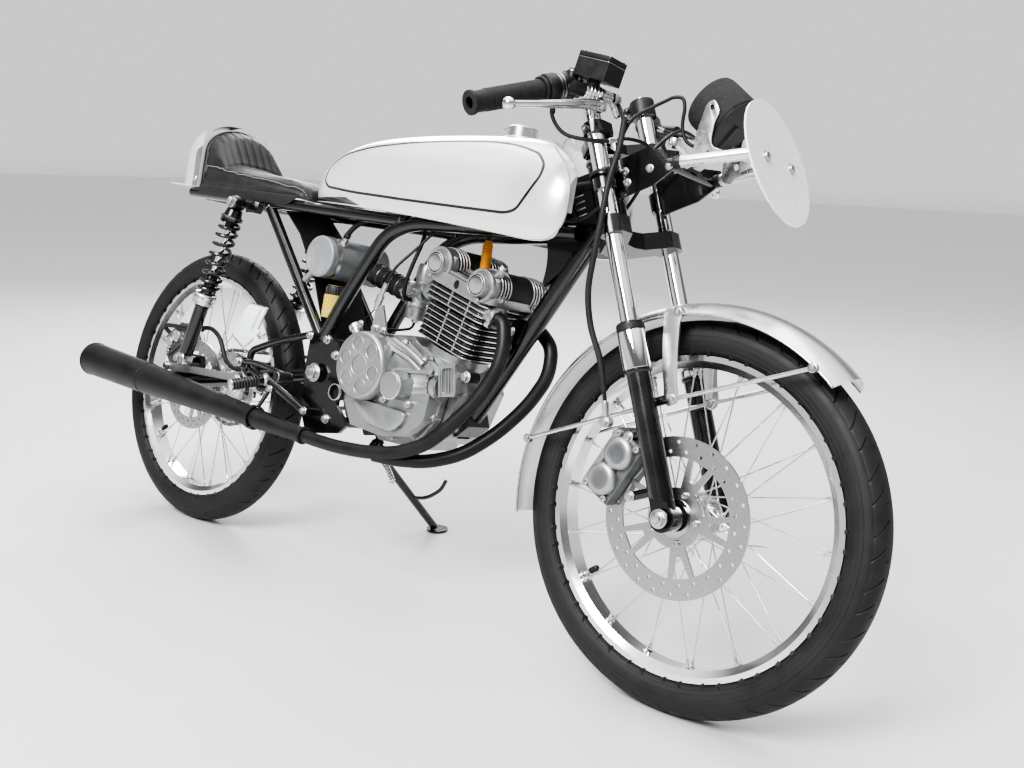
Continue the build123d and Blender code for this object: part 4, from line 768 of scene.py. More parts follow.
def make_seat():
    """The padded cover, drawn in along its seams and pleats, and then its threads and its rear piping."""
    cover = Piece("seat_cover", "frame", LEATHER)
    made = cover.add(seat_shell()).done(weld=0.2, slot="leather")
    with_modifier(made, "REMESH", mode="VOXEL", voxel_size=0.0055)
    floor = [UPRIGHT @ vec(x, 0, seat_low(x) + 5) for x in (0, 300)]
    up = (UPRIGHT.to_3x3() @ vec(SEAT_TILT, 0, 1)).normalized()
    swell(made, 4.0, 0.0045, lambda co: (co - floor[0]).dot(up) < 0)
    with_modifier(made, "SUBSURF", levels=1)
    side = [(-28, 754), (12, 751), (106, 741), (207, 731), (270, 724), (292, 718), (300, 709)]
    seams = []
    for out in (-1, 1):
        seams.append(dense([(x, out * (seat_row(x)[0] + 3), z) for x, z in side]))
    crease = dense([seat_point(46, k / 20) for k in range(21)])
    pleats = [dense([seat_point(x, 0.2 + 0.6 * k / (PLEATS - 1)) for x in range(44, -26, -4)])
              for k in range(PLEATS)]
    sew(made, [*seams, crease], 0.0075, 0.0026)
    sew(made, pleats, 0.0060, 0.0018)
    for polygon in made.data.polygons:
        polygon.use_smooth = True
    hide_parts("seat_pad")
    tree = surface_of(made)
    thread = Piece("seat_stitching", "frame", THREAD, LEATHER, DARK_THREAD)
    for out, seam in zip((-1, 1), seams):
        stitch(thread, tree, [p + vec(0, 0, 2.6) for p in seam])
    for pleat in pleats:
        stitch(thread, tree, [p + vec(0, 0.8, 0) for p in pleat], 6.0, lift=0.1, finish=DARK_THREAD)
    back = [vec(-31.6, p.y, p.z - 1.2) for p in [seat_point(-31, k / 30) for k in range(31)]]
    back = [vec(-31.6, back[0].y, seat_low(-31) + 2), *back, vec(-31.6, back[-1].y, seat_low(-31) + 2)]
    thread.add(tube(dense(back, 6), 1.6, 8), None, LEATHER)
    thread.done(slot="leather")


def make_skirt():
    """The lower edge of the seat's cover, tucked in outside each rail."""
    skirt = Piece("seat_skirt", "frame", LEATHER)
    section = [(86.4, 5), (88.2, 2.5), (89.2, -3), (89.0, -10), (88.0, -14.5), (86.9, -16),
               (86.3, -12), (86.2, -2)]
    for side in (-1, 1):
        rings = []
        for x in [-32 + 8 * k for k in range(42)]:
            drop = 1.0 if x < 256 else max(0.06, cos((x - 256) / 40 * pi / 2))
            rings.append([vec(x, side * y, seat_low(x) + (h if h > 0 else h * drop)) for y, h in section])
        skirt.add(skin(rings))
    skirt.done(sharp=60, slot="leather")


make_seat()
make_skirt()


# Tail band, tank trim
def hoop_line(x, half, side, middle, low, grow=0.0):
    """The outline of the tail over one side, the top and the other side."""
    rise = middle - side
    anchors = [(-half, low), (-half, (low + side) / 2), (-half, side), (-0.8 * half, side + 0.62 * rise),
               (-0.42 * half, side + 0.92 * rise), (0, middle)]
    half_line = smooth_path([(x, y, z) for y, z in anchors], 5)
    full = half_line + [vec(p.x, -p.y, p.z) for p in reversed(half_line[:-1])]
    centre = vec(x, 0, low)
    return [p + (p - centre).normalized() * grow for p in full]


def make_tail_band():
    """Bright band round the front edge of the tail, with a rivet at each foot."""
    band = Piece("tail_band", "frame", CAST, CHROME)
    edges = [(-35.5, 92, 796, 857.4, 714), (-58, 88.2, 788.5, 850.6, 714.5)]
    rows = [hoop_line(*edge, grow=grow) for edge in edges for grow in (0.4, 1.6)]
    points = [p for a in zip(rows[0], rows[1], rows[3], rows[2]) for p in a]
    faces = []
    for k in range(len(rows[0]) - 1):
        a, b = 4 * k, 4 * k + 4
        faces += [(a + j, a + (j + 1) % 4, b + (j + 1) % 4, b + j) for j in range(4)]
    faces += [(0, 1, 2, 3), tuple(range(len(points) - 4, len(points)))]
    band.add((points, faces))
    for out in (-1, 1):
        band.turn([(5.5, 0), (5.5, 0.8), (4.0, 2.2), (0, 2.8)], 20,
                  at((-47, out * 91.4, 730), (0, out, 0)), CHROME)
    band.done(bevel=0.3)


TANK_FLANK = [
    # x, z of the line painted round each flank
    (356, 745), (375, 731), (459, 722), (605, 713), (749, 706), (850, 702), (872, 708), (889, 736),
    (904, 765), (903, 784), (884, 803), (836, 816), (780, 822), (678, 821), (582, 817), (479, 808),
    (400, 794), (366, 775),
]


def paint_line(piece, tree, outline, out, width, lift):
    """A thin raised line on the tank's flank, cast onto it from the side."""
    way = (UPRIGHT.to_3x3() @ vec(0, -out, 0)).normalized()
    places = []
    for x, z in outline:
        hit, normal, _, _ = tree.ray_cast(UPRIGHT @ vec(x, out * 300, z), way, 0.5)
        if hit:
            places.append((TO_UPRIGHT @ hit, (TO_UPRIGHT.to_3x3() @ normal).normalized()))
    count = len(places)
    rings = []
    for k, (p, _) in enumerate(places):
        normal = sum((places[(k + j) % count][1] for j in range(-2, 3)), Vector()).normalized()
        ahead = (places[(k + 1) % count][0] - places[k - 1][0]).normalized()
        half = normal.cross(ahead).normalized() * width / 2
        up = normal * lift
        rings.append([p - half - up, p - half + up, p + half + up, p + half - up])
    piece.add(skin(rings, closed=True))


def make_tank_lines():
    """The line painted round each flank."""
    lines = Piece("tank_lines", "frame", STRIPE)
    outline = rounded(TANK_FLANK, 22, 5)
    flank = [(p.x, p.y) for p in dense([(*p, 0) for p in [*outline, outline[0]]], 5)][:-1]
    tree = surface_of(nodes["fuel_tank"])
    for out in (-1, 1):
        paint_line(lines, tree, flank, out, 4.6, 0.35)
    lines.done()


TANK_SEAM = [
    # x, z, half width of the seam along the bottom of the tank
    (318, 705.5, 46), (334, 704, 60.5), (366, 702.5, 71.5), (412, 700, 81.5), (480, 696.5, 89.5),
    (570, 691.5, 97), (680, 683.5, 102.5), (790, 674.5, 105), (860, 668.5, 104), (905, 666, 100.5),
    (932, 671, 95), (947, 690, 90), (953, 706, 89), (954.5, 726, 89), (953.5, 748, 88.5), (946, 768, 86),
    (934, 787, 83), (916, 805, 77), (896, 819, 68),
]


def make_tank_seam():
    """The welded flange that stands out along the bottom of each flank."""
    seam = Piece("tank_seam", "frame", PEARL)
    for out in (-1, 1):
        line = smooth_path([(x, out * (half + 0.5), z) for x, z, half in TANK_SEAM], 5)
        seam.add(tube(line, 3.6, 10, squash=0.42, hint=(0, 1, 0)))
    seam.done(slot="silver_paint")


FILLER = (764, 0, 843)


def make_filler():
    """The cap's domed top disc and the flange ring under it, with its hinge and catch."""
    cap = Piece("filler_trim", "frame", SATIN, STEEL)
    cap.turn([(27.2, 20), (27.2, 20.6), (24, 22.6), (14, 23.6), (0, 24)], 48, at(FILLER, UP))
    cap.turn([(30.5, 0.8), (31.5, 1.8), (30.5, 3.4), (27.2, 3.6), (27.2, 0.8)], 48,
             at(FILLER, UP), closed=True)
    cap.add(block(14, 10, 5), at((735, 0, 862), UP, (1, 0, 0)), STEEL)
    cap.add(tube([(729, -8, 861), (729, 8, 861)], 2.4, 12), None, STEEL)
    clip = [(879, -30, 826), (883, -30, 839), (890, -30, 843), (897, -30, 840), (907, -30, 823)]
    cap.add(tube(smooth_path(clip, 6), 1.3, 8), None, STEEL)
    cap.done(bevel=0.5)


make_tail_band()
make_tank_lines()
make_tank_seam()
make_filler()


# Shock absorbers and chain
SHOCK_TOP = vec(150, 0, 681)
SHOCK_LOW = vec(50, 0, 350)
SHOCK_Y = 116.0


def make_shocks():
    """Each shock absorber with its coil, collars and eyes, and the nuts that hold it."""
    length = (SHOCK_TOP - SHOCK_LOW).length
    shocks = Piece("shocks", "frame", ENAMEL, MACHINED, CHROME, RUBBER)
    body = [(0, 12), (13, 12), (14, 15), (14, 118), (15.5, 119), (15.5, 124), (12.5, 125), (12.5, 150),
            (11, 186), (8, 190), (0, 190)]
    collars = [(12.6, 124.5), (21.5, 124.5), (23, 126), (23, 133.5), (22, 134.5), (22, 136), (23, 137),
               (23, 144), (21, 146.5), (21, 148), (12.6, 148)]
    cap = [(6, length - 36), (22, length - 36), (22, length - 31), (18, length - 28), (15, length - 14),
           (6, length - 13)]
    eye = [(6.3, -12), (13, -12), (14, -11), (14, 11), (13, 12), (6.3, 12)]
    low, high = 152.0, length - 40.0
    turns, wire, radius = 8.5, 3.9, 18.6
    coil = []
    for k in range(int(turns * 30) + 1):
        a = 2 * pi * k / 30
        share = k / (turns * 30)
        flat = 0.5 * (1 - cos(pi * share))
        height = low + (high - low) * (0.72 * share + 0.28 * flat)
        coil.append(vec(radius * cos(a), radius * sin(a), height))
    for y in (-SHOCK_Y, SHOCK_Y):
        place = at(SHOCK_LOW + vec(0, y, 0), SHOCK_TOP - SHOCK_LOW, (0, 1, 0))
        shocks.turn(body, 32, place, ENAMEL)
        shocks.turn(collars, 32, place, MACHINED, closed=True)
        shocks.turn([(6, 180), (6, length - 14), (0, length - 14), (0, 180)], 20, place, CHROME)
        shocks.turn(cap, 32, place, ENAMEL, closed=True)
        shocks.add(tube(coil, wire, 10), place, ENAMEL)
        shocks.add(sleeve_of(6.2, 9.5, length - 52, length - 37, 20), place, RUBBER)
        for a in angles(8):
            notch = place @ vec(22.6 * cos(a), 22.6 * sin(a), 140.5)
            centre = place @ vec(0, 0, 140.5)
            shocks.add(block(3.2, 3.2, 1.6), at(notch, notch - centre, SHOCK_TOP - SHOCK_LOW), ENAMEL)
        for end in (SHOCK_LOW, SHOCK_TOP):
            shocks.turn(eye, 32, at(end + vec(0, y, 0), LEFT),
                        MACHINED if end is SHOCK_LOW else ENAMEL, closed=True)
            shocks.add(sleeve_of(6.3, 10, -13, 13, 24), at(end + vec(0, y, 0), LEFT), RUBBER)
    made = shocks.done(bevel=0.3)
    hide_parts("shock_absorbers")
    nuts = Piece("shock_nuts", "frame", STEEL)
    for out in (-1, 1):
        for end in (SHOCK_LOW, SHOCK_TOP):
            nuts.add(sleeve_of(6.1, 12, 128.5, 130, 24), at(end, LEFT * out))
            nuts.add(hex_head(15, 8, 1.2), at(end + LEFT * out * 130, LEFT * out, (0, 0, 1)))
            nuts.turn([(0, 136), (5, 136), (4.4, 139.5), (0, 140.5)], 16, at(end, LEFT * out))
    nuts.done(bevel=0.3)


CHAIN_Y = 50.0
CHAIN_FRONT = vec(518, CHAIN_Y, 384)
CHAIN_REAR = vec(0, CHAIN_Y, TYRE_RADIUS)
REAR_RUN, FRONT_RUN = 83.1, 32.1
CHAIN_PITCH = 12.7


def round_pin(centre, run, bearing):
    """A pin's place on a sprocket."""
    return centre + run * vec(cos(bearing), 0, sin(bearing))


def chain_line():
    """The chain's closed centre line, as a point for each pin."""
    way = CHAIN_FRONT - CHAIN_REAR
    length = way.length
    tilt = atan2(way.z, way.x)
    lean_in = asin((REAR_RUN - FRONT_RUN) / length)
    straight = length * cos(lean_in)
    rear_arc = REAR_RUN * (pi + 2 * lean_in)
    front_arc = FRONT_RUN * (pi - 2 * lean_in)
    total = 2 * straight + rear_arc + front_arc
    count = 2 * round(total / CHAIN_PITCH / 2)
    rear, front = (CHAIN_REAR, REAR_RUN), (CHAIN_FRONT, FRONT_RUN)
    legs = [(*rear, *front, tilt + pi / 2 - lean_in, front_arc),
            (*front, *rear, tilt - pi / 2 + lean_in, rear_arc)]
    pins = []
    for k in range(count):
        along = total * k / count
        for start, start_run, end, end_run, bearing, arc in legs:
            if along < straight:
                way = vec(sin(bearing), 0, -cos(bearing))
                pins.append(round_pin(start, start_run, bearing) + way * along)
                break
            along -= straight
            if along < arc:
                pins.append(round_pin(end, end_run, bearing - along / end_run))
                break
            along -= arc
    return pins


def link_outline():
    """A waisted side plate round two pins, its first pin at the origin."""
    out = []
    for centre, start in ((CHAIN_PITCH, -90), (0, 90)):
        for k in range(7):
            a = radians(start + 30 * k)
            out.append((centre + 4.2 * cos(a), 4.2 * sin(a)))
        out.append((CHAIN_PITCH / 2, 3.0 if centre else -3.0))
    return out


def make_chain():
    """Plates, rollers and pins along the chain's line."""
    pins = chain_line()
    chain = Piece("chain_links", "frame", OILY, STEEL)
    outline = link_outline()
    roller = sleeve_of(1.8, 4.1, -2.0, 2.0, 12)
    pin = rod(1.8, -4.3, 4.3, 8)
    for k, here in enumerate(pins):
        ahead = (pins[(k + 1) % len(pins)] - here).normalized()
        place = at(here, RIGHT, ahead)
        for side in (-1, 1):
            near, far = (2.2, 3.1) if k % 2 else (3.2, 4.1)
            low, high = sorted((side * near, side * far))
            chain.add(prism(outline, low, high), place, STEEL if k % 2 else OILY)
        chain.add(roller, place, STEEL)
        chain.add(pin, place, STEEL)
    made = chain.done(slot="chain_steel")
    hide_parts("drive_chain")


make_shocks()
make_chain()


# Engine
FIN_STEP = 9.4
CAM_REACH = 52.5
CAM_T = 212.0
COVER_CENTRE = (591, 416)
COVER_SCREWS = [(533, 432), (574, 471), (640, 467), (692, 443), (739, 402), (733, 350), (699, 313),
                (640, 303), (564, 309), (534, 352)]
COVER_OUTLINE = [(528, 410), (536, 446), (570, 474), (640, 470), (720, 428), (742, 400), (736, 344),
                 (700, 310), (640, 300), (560, 306), (532, 350)]


def rounded_box(x, y, radius, steps=6):
    """A rectangle x by y with true arcs at its corners."""
    out = []
    for k, (sx, sy) in enumerate([(1, 1), (-1, 1), (-1, -1), (1, -1)]):
        for j in range(steps + 1):
            a = pi / 2 * (k + j / steps)
            out.append((sx * (x / 2 - radius) + radius * cos(a), sy * (y / 2 - radius) + radius * sin(a)))
    return out


def edge_band(outline, inside, low, high):
    """A ring with the given outline outside and another of equally many points inside."""
    rings = [
        [vec(*a, low), vec(*a, high), vec(*b, high), vec(*b, low)]
        for a, b in zip(outline, inside)
    ]
    return skin(rings, closed=True)


def pierced(outline, hole, low, high):
    """A plate with one hole: each point of the hole looks to the outline's point on the same bearing."""
    centre = sum((vec(*p, 0) for p in hole), Vector()) / len(hole)
    bearings = [atan2(p[1] - centre.y, p[0] - centre.x) for p in outline]
    outer, inner = [], []
    for p, bearing in sorted(zip(outline, bearings), key=lambda pair: pair[1]):
        outer.append(p)

        def off(q):
            return abs(remainder(atan2(q[1] - centre.y, q[0] - centre.x) - bearing, 2 * pi))

        inner.append(min(hole, key=off))
    return edge_band(outer, inner, low, high)


def holed(outline, holes, low, high):
    """A plate with any number of holes."""
    loops = [[vec(*p, 0) for p in loop] for loop in (outline, *holes)]
    faces = [tuple(face) for face in tessellate_polygon(loops)]
    flat = [p for loop in loops for p in loop]
    count = len(flat)
    points = [vec(p.x, p.y, h) for h in (low, high) for p in flat]
    faces += [tuple(k + count for k in face) for face in faces]
    base = 0
    for loop in loops:
        size = len(loop)
        faces += [(base + k, base + (k + 1) % size, base + (k + 1) % size + count, base + k + count)
                  for k in range(size)]
        base += size
    return points, faces


def round_outline(x, y, radius, count=36):
    """A circle as an outline."""
    return [(x + radius * cos(a), y + radius * sin(a)) for a in angles(count)]


def dense_outline(outline, step=2.0):
    """The same outline with a point every step millimetres."""
    return [(p.x, p.y) for p in dense([(*p, 0) for p in [*outline, outline[0]]], step)[:-1]]


def make_fins():
    """Bright edges and posts of the cylinder's cooling fins."""
    fins = Piece("fin_edges", "frame", MACHINED, FIN_BLACK)
    sizes = [(132, 124, 82 + FIN_STEP * k) for k in range(7)]
    sizes += [(148, 136, 151 + FIN_STEP * k) for k in range(4)]
    for width, depth, t in sizes:
        place = on_cylinder(t, 0)
        outer = rounded_box(width + 0.7, depth + 0.7, 18.3)
        inner = rounded_box(width - 2.0, depth - 2.0, 17)
        fins.add(edge_band(outer, inner, 0.1, 2.5), place)
        thin_outer = rounded_box(width - 3, depth - 3, 16.5)
        thin_inner = rounded_box(width - 22, depth - 22, 12)
        fins.add(edge_band(thin_outer, thin_inner, 4.6, 5.8), place, FIN_BLACK)
        for side in (-1, 1):
            for n in (-0.34, -0.06, 0.24):
                post = engine(t + 5.9, n * width + (side + 1) * 6, side * (depth / 2 - 8.5))
                fins.add(block(3.2, 15, 6.8), at(post, CYLINDER_UP, CYLINDER_FORWARD),
                         MACHINED if n > -0.3 else FIN_BLACK)
    fins.done(bevel=0.15, slot="black_fins")


def make_cam_boxes():
    """The head's round cam box caps, gasket joints, side plates and fasteners."""
    head = Piece("head_trim", "frame", CAST, FIN_BLACK, POLISHED, STEEL, MACHINED)
    lip = [(29.3, -7), (29.3, 0.8), (28.2, 2.6), (26.0, 3.0), (24.0, 2.3), (22.6, 0.05)]
    cap_rim = [(16.9, 10.1), (17.3, 12.6), (18.4, 13.0), (19.4, 12.2), (19.8, 10),
               (20.0, 2.5), (21.4, 0.05)]
    groove = [(17.4, 10.15), (15.2, 10.15)]
    dish = [(15.5, 10.1), (15.4, 12.2), (14.6, 13.0), (10, 13.4), (0, 13.7)]
    for n in (-CAM_REACH, CAM_REACH):
        for side in (-1, 1):
            place = at(engine(CAM_T, n, side * 76), LEFT * side)
            head.turn(lip, 48, place)
            head.turn(cap_rim, 48, place)
            head.turn(groove, 48, place, FIN_BLACK)
            head.turn(dish, 48, place, POLISHED)
        shell = at(engine(CAM_T, n, 0), LEFT)
        head.turn(ridge(28.5, 29.5, 0, 60, 59), 48, shell, FIN_BLACK)
        for y in (-54, -46.5, -39, -31.5, 31.5, 39, 46.5, 54):
            head.turn(ridge(29, 31.2, y, 1.3, 0.9), 48, shell, MACHINED)
        for y in (-66, 66):
            for reach in (-24, 24):
                spot = engine(CAM_T + 16, n + reach * 0.9, y)
                head.turn([(6.4, -12), (6.4, -1), (5.8, 0), (0, 0)], 20, at(spot, CYLINDER_UP))
                head.screw(spot, CYLINDER_UP, 4.6, 5, STEEL)
    for low, high, out, finish in ((204.3, 205.9, 0.7, FIN_BLACK), (188.1, 204.1, 0.35, CAST),
                                   (206.1, 209.6, 0.35, CAST)):
        place = on_cylinder(0, 0)
        head.add(edge_band(rounded_box(160 + 2 * out, 150 + 2 * out, 18 + out), rounded_box(156, 146, 16),
                           low, high), place, finish)
    head.add(prism(rounded_box(96, 112, 6), 209.9, 214), on_cylinder(0, 0), FIN_BLACK)
    for y in (-42, -30, 30, 42):
        head.add(block(44, 2.4, 7), on_cylinder(216, 0, y), CAST)
    for side in (-1, 1):
        face = at(engine(0, 0, side * 74.8), LEFT * side, CYLINDER_FORWARD)
        flip = 1 if (face @ vec(0, 1, 0) - face @ Vector()).dot(CYLINDER_UP) > 0 else -1
        outline = [(n, flip * t) for n, t in [(-66, 184), (-30, 183), (30, 183), (66, 184), (50, 203),
                                              (24, 203.5), (-24, 203.5), (-50, 203)]]
        oval = [(4 + 6.2 * cos(a), flip * (193.5 + 8.4 * sin(a))) for a in angles(60)]
        head.add(pierced(dense_outline(outline), oval, 0, 4.6), face)
        head.add(prism(oval, 0.2, 1.4), face, FIN_BLACK)
        for n, t in ((-60, 188), (60, 188)):
            head.screw(engine(t, n, side * 79.2), LEFT * side, 4.4, 4, STEEL)
    for y in (-44, 44):
        head.bolt(engine(200, 81, y), CYLINDER_FORWARD, 11, 6, STEEL)
    head.add(tube([(812, -56, 606), (821, -58, 618)], [8, 6.5], 20), None, CAST)
    head.bolt((820, -58, 617), (0.6, -0.2, 0.75), 12, 7, STEEL)
    head.done(bevel=0.35, slot="satin_alloy")


def make_spark_plug():
    """The plug's cap and its lead."""
    plug = Piece("plug_cap", "frame", ORANGE, PLASTIC, CHROME)
    foot, top = engine(210, -2, -12), vec(743, -18, 666)
    way = (top - foot).normalized()
    long = (top - foot).length
    place = at(foot, way)
    cap = [(0, 4), (9.6, 4), (10.8, 6), (11.0, 12), (9.4, 16), (9.0, long * 0.55), (8.6, long * 0.8),
           (8.0, long * 0.92), (6.2, long), (0, long)]
    plug.turn(cap, 28, place)
    for k in range(4):
        ring_at = long * (0.62 + 0.07 * k)
        plug.turn([(8.4, ring_at), (9.5, ring_at + 0.8), (9.5, ring_at + 2),
                   (8.4, ring_at + 2.8)], 28, place)
    plug.turn([(9.5, -6), (9.5, 3), (8, 4.5), (0, 4.5)], 6, place, CHROME)
    lead = smooth_path([top - way * 4, top + way * 10, (740, -22, 690), (726, -26, 702),
                        (700, -24, 706)], 8)
    plug.add(tube(lead, 3.6, 12), None, PLASTIC)
    plug.done(bevel=0.3, slot="black_plastic")


def make_clutch_cover():
    """The clutch cover's raised face, recesses, flange, ribs, boss, box, screws and filler."""
    cover = Piece("cover_trim", "frame", CAST, MACHINED, STEEL, FIN_BLACK)
    cx, cz = COVER_CENTRE
    face = at((cx, -100, cz), RIGHT)
    cover.turn([(60.4, 3), (60.8, 21), (60.2, 26.4), (58.6, 29.8), (56.0, 31.7), (52.0, 31.7)], 72, face)
    upright_face = at((cx, -100, cz), RIGHT, (1, 0, 0))
    bearings = [radians(60 * k - 15) for k in range(6)]
    spots = [(38 * cos(a), 38 * sin(a), 12.6) for a in bearings] + [(0, 0, 18)]
    cover.add(holed(round_outline(0, 0, 53, 72), [round_outline(*spot, 40) for spot in spots], 30.02,
                    31.7), upright_face)
    for x, y, radius in spots:
        recess = upright_face @ shift(x, y, 0)
        cover.turn([(radius + 0.4, 30.06), (0, 30.06)], 40, recess)
        cover.turn([(radius + 0.2, 30.4), (radius - 0.5, 31.6), (radius + 0.3, 32.2), (radius + 1.4, 32.1),
                    (radius + 2.0, 31.5)], 40, recess)
    drum = at((677, -100, 394), RIGHT)
    cover.turn([(25.5, 0), (24.6, 3), (23.4, 30), (22.8, 33.4), (21.2, 35.2), (0, 35.6)], 56, drum)
    cover.turn([(24.2, 29.5), (25.0, 30.5), (24.6, 32.5), (23.0, 33)], 56, drum, MACHINED)
    flange = dense_outline(rounded(COVER_OUTLINE, 14, 5), 6)
    middle = vec(sum(p[0] for p in flange) / len(flange), sum(p[1] for p in flange) / len(flange), 0)
    ways = [(vec(*p, 0) - middle).normalized() for p in flange]
    outer = [(p[0] + 5 * way.x, p[1] + 5 * way.y) for p, way in zip(flange, ways)]
    inner = [(p[0] - 5 * way.x, p[1] - 5 * way.y) for p, way in zip(flange, ways)]
    for low, high, finish in ((60.4, 67.2, CAST), (67.2, 68.0, FIN_BLACK), (68.0, 74.5, CAST)):
        between = [((a[0] + b[0]) / 2, (a[1] + b[1]) / 2) for a, b in zip(outer, flange)]
        reach = outer if finish is CAST else between
        rings = [[vec(a[0], -low, a[1]), vec(a[0], -high, a[1]), vec(b[0], -high, b[1]),
                  vec(b[0], -low, b[1])] for a, b in zip(reach, inner)]
        cover.add(skin(rings, closed=True), None, finish)
    for x, z in COVER_SCREWS:
        cover.turn([(8.6, 61), (8.6, 77), (7.6, 78.6), (0, 78.6)], 24, at((x, 0, z), RIGHT))
        cover.bolt((x, -78.4, z), RIGHT, 8.5, 6.5, STEEL)
    for x, z in ((646, 415), (640, 365), (700, 366)):
        cover.turn([(7.4, 99), (7.0, 106), (6.0, 107.4), (0, 107.4)], 20, at((x, 0, z), RIGHT))
        cover.bolt((x, -107, z), RIGHT, 8.5, 6, STEEL)
    ribs = [[(619, 461), (623, 446), (628, 434), (634, 421)],
            [(619, 461), (652, 450), (684, 440), (712, 426)],
            [(637, 470), (664, 461), (692, 450), (716, 437)],
            [(646, 417), (672, 421), (703, 424), (742, 427)]]
    for rib in ribs:
        path = smooth_path([(x, -101, z) for x, z in rib], 6)
        cover.add(tube(path, 5.2, 12, squash=0.9), None, CAST)
    boss = rounded([(560, 352), (600, 357), (655, 354), (702, 352), (692, 324), (668, 311),
                    (604, 318)], 13, 5)
    cover.add(layered(boss, (634, 336), [(-99, 1.0), (-106.5, 0.985), (-108.6, 0.955), (-109.2, 0.92)]))
    arm = vec(686, -82, 391)
    ahead = (vec(752, -82, 404) - arm).normalized()
    sleeve = at(arm, ahead)
    cover.turn([(20.3, 6), (21.4, 8), (21.4, 14), (20.4, 16), (20.4, 44), (22.0, 46),
                (22.0, 50)], 40, sleeve)
    box = at((772, -80, 419), (0, -1, 0), (1, 0, 0.2))
    cover.add(prism(rounded_box(38, 54, 7), -14, 10), box, CAST)
    cover.add(holed(rounded_box(38, 54, 7), [rounded_box(24, 42, 4)], 9.9, 16.5), box, CAST)
    for k in (-1, 1):
        cover.add(prism(rounded_box(4.5, 54, 1.5), 9.9, 18.5), box @ shift(k * 16.5, 0, 0), CAST)
    for k in (-1, 0, 1):
        cover.add(prism(rounded_box(2.6, 40, 1), 9.9, 13), box @ shift(k * 6.5, 0, 0), CAST)
    cover.bolt((798, -80, 430), RIGHT, 13, 9, STEEL)
    cover.add(rod(9, -26, 0, 20), at((798, -80, 430), RIGHT), FIN_BLACK)
    stub = at((518, -97, 357), RIGHT)
    cover.turn([(0, -2), (15, -2), (15, 14), (13.6, 15), (12.8, 14), (12.8, 5), (0, 5)], 36,
               stub, FIN_BLACK)
    cover.turn([(13.0, 13.4), (13.6, 15.4), (15.0, 15.4), (15.6, 13.4), (15.3, 11)], 36, stub, MACHINED)
    filler = at((523, -84, 472), (-27, 0, 28))
    cover.turn([(10.2, -6), (10.2, 3), (12.6, 4), (12.6, 12), (11.4, 13.6), (0, 13.8)], 14,
               filler, MACHINED)
    cover.bolt((545, -99, 487), RIGHT, 9, 5, STEEL)
    cover.done(bevel=0.5, slot="satin_alloy")


def make_left_covers():
    """Screws and a lip on the generator and sprocket covers."""
    left = Piece("left_cover_trim", "frame", CAST, STEEL, MACHINED)
    drum = at((CRANK[0], 0, CRANK[1]), LEFT)
    left.turn([(52.3, 62), (52.6, 92), (51.0, 96.2), (47, 97.4), (44.2, 97.4), (44.0, 101), (42.6, 102.4),
               (0, 102.6)], 72, drum)
    left.turn([(14, 102), (13.2, 104), (12, 103.4), (0, 103.4)], 40, drum, MACHINED)
    for k in range(6):
        a = radians(60 * k + 30)
        left.screw((CRANK[0] + 33 * cos(a), 102.4, CRANK[1] + 33 * sin(a)), LEFT, 4.4, 4, STEEL)
    for x, z in ((512, 418), (526, 440), (578, 445), (636, 425), (636, 348), (562, 326), (513, 350)):
        left.turn([(7.5, 60), (7.5, 76), (6.6, 77.2), (0, 77.2)], 20, at((x, 0, z), LEFT))
        left.screw((x, 77, z), LEFT, 4.2, 4, STEEL)
    left.done(bevel=0.5, slot="satin_alloy")


